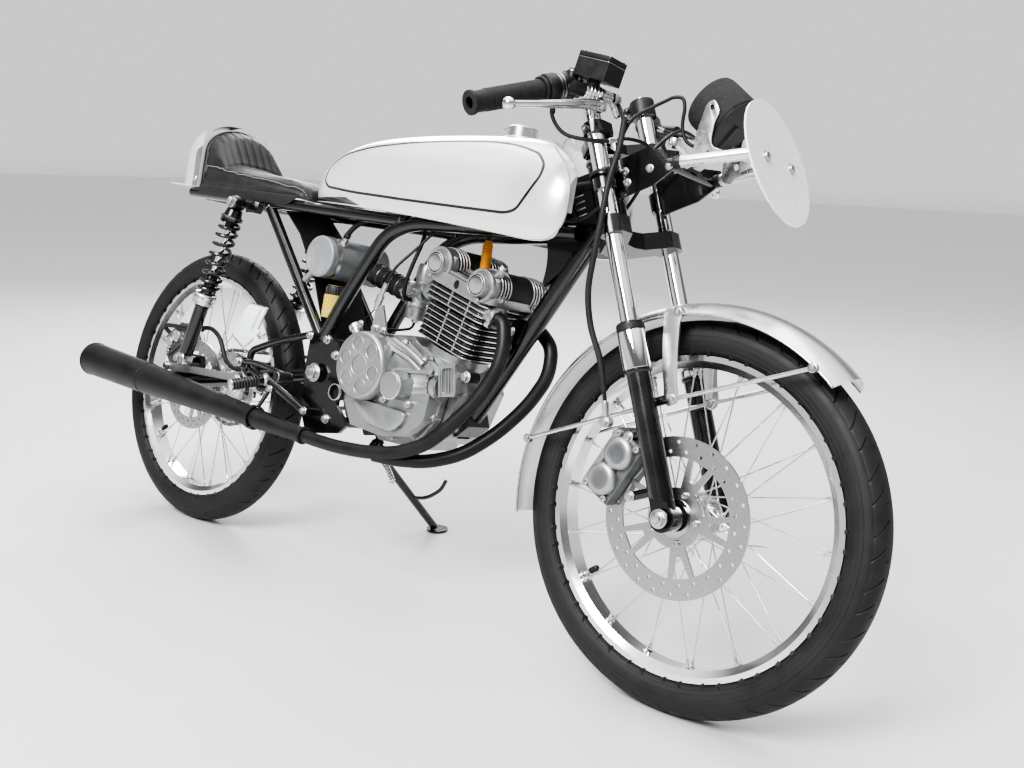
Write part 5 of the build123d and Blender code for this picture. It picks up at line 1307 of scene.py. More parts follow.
def make_intake():
    """Bands, screws and fittings of the carburettor and the canister."""
    carb = Piece("intake_trim", "frame", CAST, STEEL, RUBBER, CANISTER)
    boot = vec(566, 0, 556)
    boot_way = vec(415, 0, 595) - boot
    for along in (0.06, 0.84):
        spot = boot + boot_way * along
        carb.turn(ridge(20.1, 21.3, 0, 4, 3.6), 40, at(spot, boot_way), STEEL)
        carb.add(block(9, 6, 7), at(spot + vec(0, -22, 0), boot_way, LEFT), STEEL)
    carb.turn([(20.35, 2), (20.35, boot_way.length)], 40, at(boot, boot_way), RUBBER)
    for k in range(5):
        spot = boot + boot_way * (0.2 + 0.12 * k)
        carb.turn([(19.8, -3.4), (22, 0), (19.8, 3.4)], 40, at(spot, boot_way), RUBBER)
    bowl_top = vec(584, 0, 552)
    bowl_way = vec(581, 0, 510) - bowl_top
    bowl = at(bowl_top, bowl_way)
    carb.turn([(21.3, 12), (24.5, 12.5), (24.5, 18), (21.6, 18.6), (21.4, 36), (19.4, 40.5), (14, 43),
               (0, 43.4)], 40, bowl)
    for k in range(4):
        a = radians(45 + 90 * k)
        spot = bowl @ vec(23.5 * cos(a), 23.5 * sin(a), 18)
        carb.add(rod(3.8, -7, 0, 16), at(spot, bowl_way))
        carb.screw(spot, bowl_way, 2.9, 3, STEEL)
    carb.turn([(7, 43), (7, 48), (0, 48)], 6, bowl, STEEL)
    slide = at((594, 0, 612), (6, 0, 52))
    carb.turn([(17.2, -30), (18.6, -29), (18.6, -6), (17.6, -4), (17.6, -1), (15, 0.6), (5, 0.8), (4.4, 6),
               (0, 6)], 36, slide)
    for a in angles(18):
        carb.add(block(1.6, 2.0, 20), slide @ Matrix.Rotation(a, 4, "Z") @ shift(18.7, 0, -17))
    carb.screw((588, -22.2, 562), RIGHT, 4.2, 4, STEEL)
    carb.turn([(6, -2), (6, 5), (3, 5), (3, 9), (0, 9)], 16, at((578, -22, 552), RIGHT), STEEL)
    tank = at((394, 0, 598), RIGHT)
    carb.turn([(39.2, -54), (40.0, -52), (40.0, -49), (39.2, -47)], 56, tank, CANISTER)
    carb.turn([(39.2, 66), (40.2, 68), (40.2, 78), (39.2, 80)], 56, tank, STEEL)
    carb.turn([(39.1, 84), (39.6, 88), (38.2, 91), (34, 92.2), (31, 90.4), (0, 90.2)], 56, tank, CANISTER)
    fitting = vec(420, -60, 628)
    carb.add(tube([fitting - vec(6, 0, 10), fitting + vec(8, 0, 14)], [7.5, 6.5], 20), None, STEEL)
    carb.turn([(6, -3), (9, -3), (9, 3), (0, 3)], 6, at(fitting, (8, 0, 14)), STEEL)
    hose = smooth_path([fitting + vec(5, 0, 10), (436, -62, 652), (452, -58, 668), (486, -52, 684),
                        (520, -46, 694)], 8)
    carb.add(tube(hose, 5.0, 14), None, RUBBER)
    carb.add(tube(hose[:6], 6.4, 16), None, RUBBER)
    cap = at((410, -52, 530), UP)
    carb.turn([(16.3, 0), (16.8, 1.5), (16.8, 16), (15.6, 18.4), (0, 18.6)], 36, cap, RUBBER)
    for a in angles(20):
        carb.add(block(1.4, 1.8, 13), cap @ Matrix.Rotation(a, 4, "Z") @ shift(16.9, 0, 8.6), RUBBER)
    carb.done(bevel=0.3, slot="satin_alloy")


# Forks, bars and controls
def bar_point(y):
    """A point on a handlebar's middle line."""
    out = abs(y) - LEG_Y
    return steer(681 - 0.30 * out, LEG_FORWARD - 0.40 * out, y)


def make_bars():
    """Grips' ribs, clamps, switch housings, the reservoir's lid, the master cylinder and both levers."""
    bars = Piece("bar_trim", "steering", GRIP, PLASTIC, STEEL, MACHINED, CHROME)
    for side in (-1, 1):
        inner, outer = bar_point(side * 160), bar_point(side * 282)
        way = (outer - inner).normalized()
        place = at(inner, way)
        for k in range(22):
            h = 9 + 4.7 * k
            bars.turn(ridge(15.9, 16.8, h, 1.5, 1), 40, place)
        bars.turn([(19.8, 0.3), (20.6, 1.4), (20.6, 4.6), (19.8, 5.7)], 40, place)
        end = (outer - inner).length
        bars.turn([(8.7, end - 3), (8.7, end + 0.4), (16, end + 0.8), (18.2, end - 0.6), (18.4, end - 4.5),
                   (16, end - 6)], 40, place)
        clamp = at(on_leg(666, side), STEER_UP, STEER_FORWARD)
        bars.turn([(20.2, 0.5), (20.6, 2), (20.6, 28), (20.2, 29.5)], 40, clamp, PLASTIC)
        for h in (8, 22):
            spot = clamp @ vec(-21, -side * 6, h)
            bars.add(block(16, 13, 9), at(spot, STEER_UP, STEER_FORWARD), PLASTIC)
            bars.screw(spot + LEFT * side * -6.5, RIGHT * side, 3.6, 4, STEEL)
        top = at(on_leg(700, side), STEER_UP)
        bars.turn([(13.7, -9), (15.2, -8), (15.2, -2.5), (13.6, -0.4), (11.6, 0.8), (0, 1.0)],
                  40, top, PLASTIC)
        bars.turn([(13.7, -11), (15.6, -10.4), (15.6, -8.6), (13.7, -8)], 40, top, MACHINED)
        yoke = at(on_leg(609, side), STEER_UP)
        bars.turn([(14, -0.4), (15.4, 0.2), (15.4, 1.8), (14, 2.4)], 40, yoke, STEEL)
        for s, back in ((600, 4.2), (442, 4.4)):
            bars.screw(steer(s, LEG_FORWARD - back, side * (LEG_Y + 19.5)), LEFT * side, 4.6, 5, STEEL)
    nut = at(steer(618, 0), STEER_UP)
    bars.turn([(17.2, -9), (17.2, -1), (15.6, 0.6), (6, 0.8), (6, -2), (0, -2)], 6, nut, MACHINED)
    inner, outer = bar_point(-116), bar_point(-159)
    way = (outer - inner).normalized()
    housing = at(inner, way)
    long = (outer - inner).length
    for h in (1, long * 0.42, long * 0.55, long - 2):
        bars.turn(ridge(21, 22.3, h, 1.6, 1.2), 44, housing, STEEL if 2 < h < long - 3 else PLASTIC)
    bars.turn([(21, long * 0.6), (23.4, long * 0.64), (24, long * 0.8), (23.4, long * 0.94), (21, long)],
              44, housing, PLASTIC)
    for k in (-1, 1):
        bars.screw(housing @ vec(21.5, 8 * k, long * 0.3), housing.to_3x3() @ vec(1, 0, 0), 3.2, 4, STEEL)
    inner, outer = bar_point(116), bar_point(159)
    housing = at(inner, outer - inner)
    for h in (2, 20, 38):
        bars.turn(ridge(21, 22, h, 1.6, 1.2), 44, housing, PLASTIC)
    reservoir = shift(995, -120, 924) @ Matrix.Rotation(radians(12), 4, "Y")
    for long, wide, corner, low, high, finish in ((62.5, 44.5, 4, 12.5, 18.6, PLASTIC),
                                                  (54, 36, 3, 18.5, 19.6, PLASTIC),
                                                  (61, 43, 3.5, 9.6, 11.0, STEEL)):
        bars.add(prism(rounded_box(long, wide, corner), low, high), reservoir, finish)
    for sx in (-1, 1):
        for sy in (-1, 1):
            bars.turn([(2.9, 18.4), (2.9, 20), (2.2, 20.6), (0, 20.6)], 16,
                      reservoir @ shift(25.5 * sx, 16.5 * sy, 0), STEEL)
    bars.turn([(0, -14), (9.4, -14), (9.4, 10), (8.6, 12.6), (7, 13.4), (0, 13.6)], 30,
              at((947, -122, 913), (0.15, 0, 1)), PLASTIC)
    bars.turn([(9.7, 7.5), (10.2, 8), (10.2, 10), (9.7, 10.5)], 30,
              at((947, -122, 913), (0.15, 0, 1)), STEEL)
    pump, far = vec(1000, -92, 889), vec(972, -150, 891)
    place = at(pump, pump - far)
    bars.turn([(10.2, -44), (11.2, -42), (11.2, -12), (10.2, -10), (10.2, 0), (8, 4), (8, 12), (0, 12)], 32,
              place, MACHINED)
    bars.turn([(11, 6), (11, 12), (8.4, 13.5), (8.4, 18), (0, 18)], 6, place, STEEL)
    for h in (-36, -30, -24, -18):
        bars.turn([(11, h - 1.4), (12.2, h), (11, h + 1.4)], 32, place, MACHINED)
    for side in (-1, 1):
        pivot, elbow = vec(1000, side * 112, 872), vec(998, side * 160, 862)
        end = steer(580, 46, side * 298)
        path = smooth_path([pivot + vec(4, side * -4, 1), (pivot + elbow) / 2 + vec(2, 0, 1), elbow,
                            elbow * 0.6 + end * 0.4, elbow * 0.25 + end * 0.75, end], 6)
        widths = [9.5 - 4.2 * min(1.0, k / (len(path) * 0.7)) for k in range(len(path))]
        bars.add(tube(path, widths, 16, squash=0.58, hint=(0, 0, 1)), None,
                 CHROME if side > 0 else MACHINED)
        bars.turn([(0, -6.4), (10.6, -6.4), (11, -5.6), (11, 5.6), (10.6, 6.4), (0, 6.4)], 30,
                  at(pivot, UP), MACHINED)
        bars.bolt(pivot + vec(0, 0, 12), UP, 10, 6, STEEL)
    bars.done(bevel=0.3, slot="black_plastic")


def cable_run(piece, points, radius):
    """A cable through a few points; gives back its path."""
    path = smooth_path(points, 10)
    piece.add(tube(path, radius, 12))
    return path


def ferrule(piece, path, finish, length=16, radius=4.2, end=True):
    """A crimped sleeve on a cable's end."""
    a, b = (path[-1], path[-2]) if end else (path[0], path[1])
    place = at(a, b - a)
    rings = [(radius - 1, -1), (radius, 0), (radius, length * 0.6), (radius - 0.8, length * 0.66),
             (radius - 0.8, length), (radius - 1.6, length + 1)]
    piece.turn(rings, 16, place, finish)


GAUGE_CABLE = [
    # x, y, z of the cable that arches from the right fork leg to the gauge
    (1024, -74, 838), (1030, -70, 859), (1038, -62, 873), (1053, -50, 887), (1065, -38, 899),
    (1075, -30, 907), (1088, -26, 906), (1093, -24, 892), (1092, -22, 874), (1094, -20, 858),
    (1104, -18, 842), (1124, -14, 836), (1150, -8, 846),
]
HOSE_ROUTE = [
    # s, f, y of the front brake hose
    (596, 98, -80), (550, 88, -94), (500, 68, -108), (446, 46, -112), (396, 22, -112), (350, 0, -108),
    (300, -10, -102), (250, -8, -96), (200, -14, -90),
]


THROTTLE_STEPS = [
    # x, y, z of the throttle cable's upper end, from the bar's middle line at the grip
    (2, 0, -18), (4, 2, -44), (22, 14, -66), (52, 34, -70), (76, 56, -66),
]


def make_cables():
    """Hoses and cables that turn with the bars, and the two bends that run on to the frame."""
    held = Piece("steering_cables", "steering", PLASTIC, STEEL, RUBBER)
    held.add(tube(smooth_path([steer(*point) for point in HOSE_ROUTE], 8), 4.8, 16), None, RUBBER)
    held.add(tube(smooth_path(GAUGE_CABLE, 8), 2.8, 14), None, RUBBER)
    start = bar_point(-140)
    path = cable_run(held, [start + vec(*step) for step in THROTTLE_STEPS], 3.1)
    ferrule(held, path, RUBBER, 20, 5.2, end=False)
    tie = at(steer(524, LEG_FORWARD + 6, -LEG_Y - 5), STEER_UP, STEER_FORWARD)
    band = [(22 * cos(a), 20 * sin(a), 0) for a in angles(40)]
    held.add(tube(band, 1.3, 8, closed=True, squash=2.2, hint=(1, 0, 0)), tie, RUBBER)
    held.add(block(7, 6, 5), tie @ shift(20, -8, 0), RUBBER)
    hose_top = steer(633, 85.3, -91.6)
    held.turn([(0, -9), (6.4, -9), (7, -8), (7, 8), (6.4, 9), (0, 9)], 24, at(hose_top, LEFT), STEEL)
    held.turn([(4.6, 0), (4.6, 16), (5.4, 17), (5.4, 30), (3.6, 32)], 20,
              at(hose_top, steer(628, 90, -76) - steer(680, 85, -96)), STEEL)
    held.done(bevel=0.2, slot="rubber")
    lines = {
        "throttle_cable_bend": (
            start + vec(*THROTTLE_STEPS[-1]),
            [(1020, -50, 838), (1030, -10, 836), (1018, 26, 812), (980, 36, 748), (948, 36, 714)],
            vec(925, 36, 708), 2.9),
        "clutch_cable_bend": (
            bar_point(118) + vec(26, -4, -8),
            [(1052, 84, 872), (1062, 20, 868), (1060, -34, 828), (1018, -48, 762), (958, -40, 716)],
            vec(925, -36, 707.4), 2.9),
    }
    for name, (first, middle, last, radius) in lines.items():
        cable = Piece(name, "frame", PLASTIC, STEEL)
        points = [first, *[Vector(p) for p in middle], last]
        path = cable_run(cable, points, radius)
        ferrule(cable, path, PLASTIC, 12, 4.0)
        ferrule(cable, path, STEEL, 14, 4.4, end=False)
        made = cable.done(slot="rubber", rides=False)
        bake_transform(made)


GAUGE_BRACKET = [
    # s, f of the corners of each flat bracket beside the gauge
    (580, 219), (581, 232), (560, 237), (546, 223), (526, 213), (514, 213), (501, 229), (493, 228),
    (491, 199), (484, 186), (496, 174), (538, 190), (556, 202),
]
BRACKET_HOLES = [
    # s, f, length, width
    (570.5, 225.5, 8, 6), (507, 203, 9, 8),
]


def make_instrument():
    """The gauge's foam cup, bezel, marks and pointer, its brackets and the number plate's ties."""
    face = Piece("instrument_trim", "steering", FOAM, PLASTIC, MACHINED, DIAL, STEEL, CHROME)
    base, top = steer(548, 236), steer(600, 206)
    way = (top - base).normalized()
    cup = at(base, way, LEFT)
    long = (top - base).length
    face.turn([(42.2, 1), (44.2, 3), (44.6, 20), (44.6, long - 4), (43.4, long + 1.4), (40, long + 2),
               (38.6, long + 0.4)], 64, cup)
    face.turn([(39, long + 0.3), (39.4, long + 2.2), (37.4, long + 2.8), (36.6, long + 0.8)],
              64, cup, CHROME)
    face.turn([(36.8, long + 0.4), (0, long + 0.5)], 64, cup, DIAL)
    for k in range(31):
        a = radians(-130 + 260 * k / 30)
        length = 6 if k % 5 == 0 else 3.4
        spot = cup @ Matrix.Rotation(a, 4, "Z") @ shift(32 - length / 2, 0, long + 0.8)
        face.add(block(length, 0.7 if k % 5 else 1.3, 0.5), spot, STEEL)
    face.add(prism([(-6, -1.6), (27, -0.4), (27, 0.4), (-6, 1.6)], long + 1.4, long + 2.0),
             cup @ Matrix.Rotation(2.1, 4, "Z"), MACHINED)
    face.turn([(4, long + 0.4), (4, long + 2.6), (0, long + 2.8)], 24, cup, PLASTIC)
    for side in (-1, 1):
        plate = at(vec(STEER_FOOT[0], side * 45.2, STEER_FOOT[1]), LEFT * side, STEER_UP)
        outline = rounded([(s, side * f) for s, f in GAUGE_BRACKET], 9, 5)
        holes = [[(s + a, side * (f + b)) for a, b in rounded_box(long, wide, 2.4)]
                 for s, f, long, wide in BRACKET_HOLES]
        face.add(holed(outline, holes, 0, 2.6), plate, MACHINED)
        foot = steer(496, 196, side * 52.5)
        face.add(block(30, 13, 2.6), at(foot, STEER_UP, STEER_FORWARD), MACHINED)
        a, b = steer(508, 150, side * 65.6), steer(480, 278, side * 41)
        face.add(tube([a + (b - a) * 0.12, a + (b - a) * 0.15, a + (b - a) * 0.99, b], [8.8, 9.2, 9.2, 8.8],
                      32), None, MACHINED)
        face.add(tube([a + (b - a) * 0.06, a + (b - a) * 0.13], 10.2, 28), None, PLASTIC)
        for s, f, radius in ((523, 76, 5.4), (505, 76, 5.4), (512, 118, 5.0), (503, 150, 5.0)):
            face.turn([(radius + 1.4, 0), (radius + 1.4, 1), (radius, 1.2), (radius, 4),
                       (radius - 1.6, 5.4), (0, 5.6)], 24, at(steer(s, f, side * 67.6), LEFT * side), STEEL)
        plate_spot = steer(470, 287, side * 41)
        face.turn([(8.5, 0), (8.5, 0.8), (6.6, 1), (6.6, 3.4), (5, 4.6), (0, 4.8)], 28,
                  at(plate_spot, STEER_FORWARD), STEEL)
        face.add(prism(rounded_box(11, 60, 2.5), -1.6, 0),
                 at(steer(470, 283.9, side * 41), STEER_FORWARD, LEFT), MACHINED)
    face.done(bevel=0.3, slot="black_plastic")


FENDER_STRIP = [
    # x, z of the corners of the flat strip that carries the fender on each side
    (1171, 590), (1141, 589), (1142, 570), (1149, 530), (1157, 495), (1165, 470), (1167, 453), (1178, 447),
    (1189, 456), (1188, 470), (1181, 492), (1175, 530), (1170, 566),
]


def make_fork_trim():
    """Dust caps, sleeves, axle nuts and the fender's strips, rivets and rolled edge."""
    fork = Piece("fork_trim", "steering", RUBBER, STEEL, MACHINED, ENAMEL, CHROME, SATIN)
    for side in (-1, 1):
        top = at(on_leg(288, side), STEER_UP)
        fork.turn([(21.2, -10), (21.2, -2), (19.6, 1.6), (15.6, 3.2), (14, 3.2), (14, -3)], 40, top)
        fork.turn([(20.8, -69.5), (21.6, -68.5), (21.6, -12.5), (20.8, -11.5)], 56, top, CHROME)
        fork.turn([(18.2, -76), (21.0, -73), (21.0, -70)], 40, top, ENAMEL)
        fork.bolt((WHEELBASE, side * 101.6, TYRE_RADIUS), LEFT * side, 19, 7, STEEL)
        fork.turn([(7.4, 101), (7.4, 111), (6.4, 112.4), (0, 112.6)], 24,
                  at((WHEELBASE, 0, TYRE_RADIUS), LEFT * side), STEEL)
        lug = at(steer(-14, LEG_FORWARD, side * LEG_Y), -STEER_UP)
        fork.turn([(9.5, -1), (9.5, 3.5), (8.4, 4.6), (4.6, 4.8), (4.6, 1.5), (0, 1.5)], 30, lug, STEEL)
        spot = steer(168, 78, side * 61)
        fork.add(rod(7.4, -8, 8, 24), at(spot, LEFT), STEEL)
        fork.bolt(spot + LEFT * side * -9, RIGHT * side, 9, 5, STEEL)
        strip = rounded(FENDER_STRIP, 7, 5)
        flat = [vec(x, side * (61.6 - (z - 459) * 0.035), z) for x, z in strip]
        fork.add(skin([flat, [p + LEFT * side * 2.2 for p in flat]]), None, SATIN)
        for angle, radius, out in ((56, 294, 57.2), (168, 294, 57.2), (100, 298, 59.6)):
            a = radians(angle)
            spot = vec(WHEELBASE + radius * cos(a), side * out, TYRE_RADIUS + radius * sin(a))
            fork.turn([(7.2, -0.6), (7.2, 0.6), (5.0, 0.8), (5.0, 3.2), (3.8, 4.4), (0, 4.6)], 24,
                      at(spot, LEFT * side), STEEL)
    for side in (-1, 1):
        edge = []
        for k in range(61):
            a = radians(48.7 + (191.7 - 48.7) * k / 60)
            edge.append((WHEELBASE + 295.2 * cos(a), side * 49.6, TYRE_RADIUS + 295.2 * sin(a)))
        fork.add(tube(edge, 2.1, 8), None, MACHINED)
    fork.done(bevel=0.3, slot="polished_alloy")


def caliper_place(axle, ahead, above, y):
    """A caliper's own place, its Z away from the axle."""
    turn = Matrix.Rotation(-atan2(above, ahead) + pi / 2, 4, "Y")
    return shift(axle + ahead, y, TYRE_RADIUS + above) @ turn


def make_brake_trim():
    """Caps, screws and hoses of both calipers, axle nuts, chain adjusters and the discs' bolts."""
    front = Piece("front_brake_trim", "steering", CAST, STEEL, MACHINED)
    place = caliper_place(WHEELBASE, -104, 54, -56)
    for along in (-24, 24):
        dome = place @ shift(along, 0, 0)
        cap = at(dome @ vec(0, -37, 0), RIGHT)
        front.turn([(25, -13), (25, -6), (24, -3.4), (21.5, -1), (18.8, 0.4), (15.5, 0.8), (14.8, -1.2),
                    (11, -1.6), (0, -1.6)], 56, cap, CAST)
        front.turn([(14.6, -1.0), (13.8, 0.2), (12.4, -0.4), (0, -0.6)], 44, cap, MACHINED)
        for z in (20, -20):
            front.screw(place @ vec(along * 1.92, -25.4, z), RIGHT, 5, 6, STEEL)
    front.add(block(26, 7, 12), place @ shift(0, -27, 0), CAST)
    front.add(block(96, 3, 10), place @ shift(0, -26, 23), CAST)
    front.add(block(60, 6, 3.2), place @ shift(0, 0, 29), MACHINED)
    front.turn([(4.5, 0), (4.5, 5), (2.6, 6), (2.6, 11), (3.4, 12), (0, 13)], 16,
               place @ shift(34, -8, 27), STEEL)
    end, before = steer(160, -22, -84), steer(200, -14, -90)
    sleeve = at(end, before - end)
    front.turn([(4.8, -6), (4.8, 12), (5.6, 13), (5.6, 26), (3.8, 28)], 20, sleeve, STEEL)
    eye = end + (end - before).normalized() * 4
    front.add(rod(8.5, -6, 6, 24), at(eye, RIGHT), STEEL)
    front.bolt(eye + RIGHT * 6, RIGHT, 12, 7, STEEL)
    for s, f in ((127.0, 8.0), (41.5, -8.0)):
        front.bolt(steer(s, f, -80.2), RIGHT, 11, 6, STEEL)
    front.done(bevel=0.6, slot="satin_alloy")
    rear = Piece("rear_brake_trim", "frame", CAST, STEEL, MACHINED, RUBBER)
    place = caliper_place(0, -66, 88, -48)
    for along in (-15, 15):
        cap = at(place @ vec(along, -21, 0), RIGHT)
        rear.turn([(13.5, -6), (13.5, 6.5), (12.4, 8), (10, 8.2), (9.4, 6.8), (0, 6.6)], 36, cap, MACHINED)
        for z in (-15, 15):
            rear.screw(place @ vec(along * 1.85, -21.4, z), RIGHT, 4.4, 5, STEEL)
    rear.turn([(4, 0), (4, 5), (2.4, 6), (2.4, 10), (3.2, 11), (0, 12)], 16,
              place @ shift(20, -6, 21), STEEL)
    hose = smooth_path([place @ vec(-20, -10, 22), place @ vec(-10, -26, 40), (38, -84, 412),
                        (64, -88, 419), (93, -90, 420), (120, -90, 408), (139, -90, 387), (158, -91, 364),
                        (196, -93, 352), (250, -95, 360), (300, -94, 372)], 8)
    rear.add(tube(hose, 4.6, 14), None, RUBBER)
    arm = smooth_path([(232, -104, 372), (244, -110, 362), (258, -116, 348), (286, -118, 333),
                       (326, -118, 319)], 6)
    rear.add(tube(arm, 4.6, 14, squash=1.5), None, MACHINED)
    for x, z in ((-30, 325), (217, 335.8)):
        rear.bolt((x, -101.5, z), RIGHT, 13, 7, STEEL)
    for way in (RIGHT, LEFT):
        rear.bolt((0, 97.4 * way.y, TYRE_RADIUS), way, 19, 8, STEEL)
    for side in (-1, 1):
        rear.turn([(7.3, 97), (7.3, 109.5), (6.4, 111), (0, 111)], 24,
                  at((0, 0, TYRE_RADIUS), LEFT * side), STEEL)
        rear.add(block(34, 5, 30), at((2, side * 91.2, TYRE_RADIUS), UP), CAST)
        rear.add(tube([(-4, side * 84, 292), (-62, side * 84, 291)], 3.2, 12), None, STEEL)
        rear.add(block(5, 17, 40), at((-47.4, side * 82, 291.5), UP), MACHINED)
        rear.add(sleeve_of(3.1, 5.6, -3, 3, 6), at((-53, side * 84, 291), (1, 0, 0)), STEEL)
    rear.done(bevel=0.4, slot="satin_alloy")
    for name, body, axle, y, far in (("front_disc_bolts", "front_wheel", WHEELBASE, -58.2, 36.5),
                                     ("rear_disc_bolts", "rear_wheel", 0, -50.2, 33.5)):
        bolts = Piece(name, body, STEEL)
        for a in angles(DISC_BOLTS):
            bolts.add(socket_head(4.8, 5), at((axle + far * cos(a), y, TYRE_RADIUS + far * sin(a)), RIGHT))
        bolts.done(bevel=0.2, slot="steel")


FRAME_BOLTS = [
    # x, y, z, width, height
    (414, 99, 448, 11, 6), (428, 99, 307, 11, 6), (470, 79, 420, 12, 7), (478, 79, 350, 12, 7),
    (470, 79, 300, 12, 7), (440, 79, 446, 12, 7), (748, 28, 372, 11, 7), (746, 28, 336, 11, 7),
    (733, 28, 350, 11, 7), (831, 24, 518, 11, 7), (829, 24, 492, 11, 7),
]
WELDS = [
    # where a tube starts, a point it runs to, its radius
    ((196, 75, 692), (418, 75, 446), 11), ((600, 75, 679), (560, 75, 680.4), 11),
    ((196, 60, 692.6), (196, 50, 692.6), 11), ((-58, 60, 701.5), (-58, 50, 701.5), 11),
    ((421, 56, 381), (400, 57, 375), 13), ((338, 50, 362), (338, 40, 362), 12),
]


def make_frame_trim():
    """Bolts, welds, peg rubbers and bearing rings on the frame, and the heel guard's edge."""
    trim = Piece("frame_trim", "frame", STEEL, ENAMEL, MACHINED, RUBBER)
    for side in (-1, 1):
        out = LEFT * side
        trim.bolt((427, side * 88, 381), out, 24, 11, STEEL)
        trim.turn([(0, 99), (7.4, 99), (6.4, 102), (0, 102)], 24, at((427, 0, 381), out), STEEL)
        for x, y, z, width, height in FRAME_BOLTS:
            trim.bolt((x, side * y, z), out, width, height, STEEL)
        for a, b, radius in WELDS:
            p, q = vec(a[0], side * a[1], a[2]), vec(b[0], side * b[1], b[2])
            way = (q - p).normalized()
            spot = p + way * 14
            trim.turn([(radius - 1, -3), (radius + 1.3, -1.6), (radius + 1.8, 0), (radius + 1.3, 1.6),
                       (radius - 1, 3)], 32, at(spot, way), ENAMEL)
        for k in range(5):
            low, high = steer(508 + 11 * k, -38, side * 11.4), steer(508 + 11 * k, -55, side * 11.4)
            trim.add(tube([low, high], 2.2, 10, squash=0.6, hint=(0, 1, 0)), None, MACHINED)
        for x, z in ((170, 686), (132, 690)):
            trim.bolt((x, side * 84.2, z), out, 9, 5, STEEL)
        peg, far = vec(318, side * 104, 350), vec(300, side * 176, 330)
        way = (far - peg).normalized()
        place = at(peg, way)
        long = (far - peg).length
        for k in range(9):
            h = 24 + 5.6 * k
            trim.turn(ridge(8.8, 11.2, h, 1.9, 1.4), 28, place, RUBBER)
        trim.turn([(9.2, long - 3), (11.8, long - 2), (11.8, long + 1.4), (9.4, long + 2.8), (0, long + 3)],
                  28, place, MACHINED)
        trim.turn([(10, 0), (12.4, 3), (12.4, 9), (9.6, 12)], 28, place, STEEL)
        trim.bolt((250, side * 128, 372), out, 13, 8, STEEL)
        trim.turn([(5.4, 0), (9.0, 1), (9.0, 30), (8.0, 31.4), (0, 31.6)], 24,
                  at((418, side * 136, 366), LEFT * side), RUBBER)
    for s in (462, 585):
        trim.turn(ridge(25.2, 27.0, 0, 3.4, 2.6), 48, at(steer(s, 0), STEER_UP), MACHINED)
    for spot, width, height in (((289, -101.3, 407), 10, 5), ((268, -101.3, 428), 9, 5),
                                ((582, -97.4, 484), 10, 6), ((602, -97.4, 482), 10, 6),
                                ((336, -112.2, 333), 11, 6)):
        trim.bolt(spot, RIGHT, width, height, STEEL)
    trim.done(bevel=0.3, slot="steel")
    guard = Piece("heel_guard_edge", "frame", MACHINED, PLATE)
    outline = [(180, 418), (219, 488), (278, 484), (257, 438), (288, 415), (280, 399), (229, 394)]
    rim = [(x, -101.6, z) for x, z in dense_outline(rounded(outline, 6, 4), 4)]
    guard.add(tube(rim, 1.5, 8, closed=True))
    pad = rounded([(184, 421), (220, 484), (263, 481), (241, 436), (253, 420), (228, 400)], 6, 5)
    guard.add(layered(pad, (226, 440), [(-101.0, 1.0), (-104.4, 1.0), (-105.8, 0.985), (-106.6, 0.95)]),
              None, PLATE)
    guard.done(slot="steel")


def make_stand_spring():
    """Coil from the lower cross tube to the side stand, drawn with the stand down."""
    spring = Piece("stand_spring", "side_stand", STEEL)
    start = TO_UPRIGHT @ Vector(joints["side_stand_fold"]["pos_m"])
    foot = vec(435.6, 250, 40)
    way = (foot - start).normalized()
    low = start + way * 78 + vec(16, 0, 0)
    high = start + way * 22 + vec(16, 0, 0)
    turns, points = 9, []
    axis = (low - high).normalized()
    across = axis.orthogonal().normalized()
    other = axis.cross(across)
    for k in range(turns * 16 + 1):
        a = 2 * pi * k / 16
        points.append(high + (low - high) * k / (turns * 16) + (across * cos(a) + other * sin(a)) * 5)
    spring.add(tube(points, 1.3, 8))
    spring.add(tube([low, low + way * 6, low + vec(-14, 0, 0) + way * 6], 1.4, 8))
    spring.add(tube([high, high - way * 5, high + vec(-14, 0, 0) - way * 5], 1.4, 8))
    spring.done(slot="steel")


def make_megaphone_trim():
    """The megaphone's band, seam and end ring, and the header's flanges."""
    pipe = Piece("exhaust_trim", "frame", EXHAUST, STEEL)
    a, b = vec(466, -130, 268), vec(-232, -152, 305)
    way = (b - a).normalized()
    pipe.turn([(15.0, 0), (16.4, 1), (16.4, 7), (15.2, 8)], 40, at(a - way * 11, way))
    long = (b - a).length
    pipe.turn([(34.2, -3), (36.4, -3), (37.2, -1.4), (36.8, 0.4), (34.6, 0.6), (34.2, -1)], 64,
              at(b, way), closed=True)
    at_seam = long * 0.72
    pipe.turn([(32.4, at_seam - 14), (33.6, at_seam - 13), (33.6, at_seam - 10), (32.8, at_seam - 9)],
              64, at(a, way))
    for y in (-46, 46):
        port = at(engine(170, 84.2, y), CYLINDER_FORWARD)
        pipe.turn([(12.4, -4), (19, -3.4), (19, 3.4), (14, 5), (12.4, 5)], 40, port, STEEL)
        for k in (-1, 1):
            stud = engine(170 + 14 * k, 86, y + 14 * k)
            pipe.turn([(5.5, -6), (5.5, 4), (0, 4)], 6, at(stud, CYLINDER_FORWARD), STEEL)
    pipe.done(bevel=0.3, slot="exhaust_black")


make_fins()
make_cam_boxes()
make_spark_plug()
make_clutch_cover()
make_left_covers()
make_intake()
make_bars()
make_cables()
make_instrument()
make_fork_trim()
make_brake_trim()
make_frame_trim()
make_stand_spring()
make_megaphone_trim()


# Camera, floor and light
CAMERA_PLACE = (1.35299, -1.43274, 0.78422)
CAMERA_TURNS = (("Z", 39.7997), ("X", -11.6197), ("Y", -2.2241))
CAMERA_LENS = 37.21


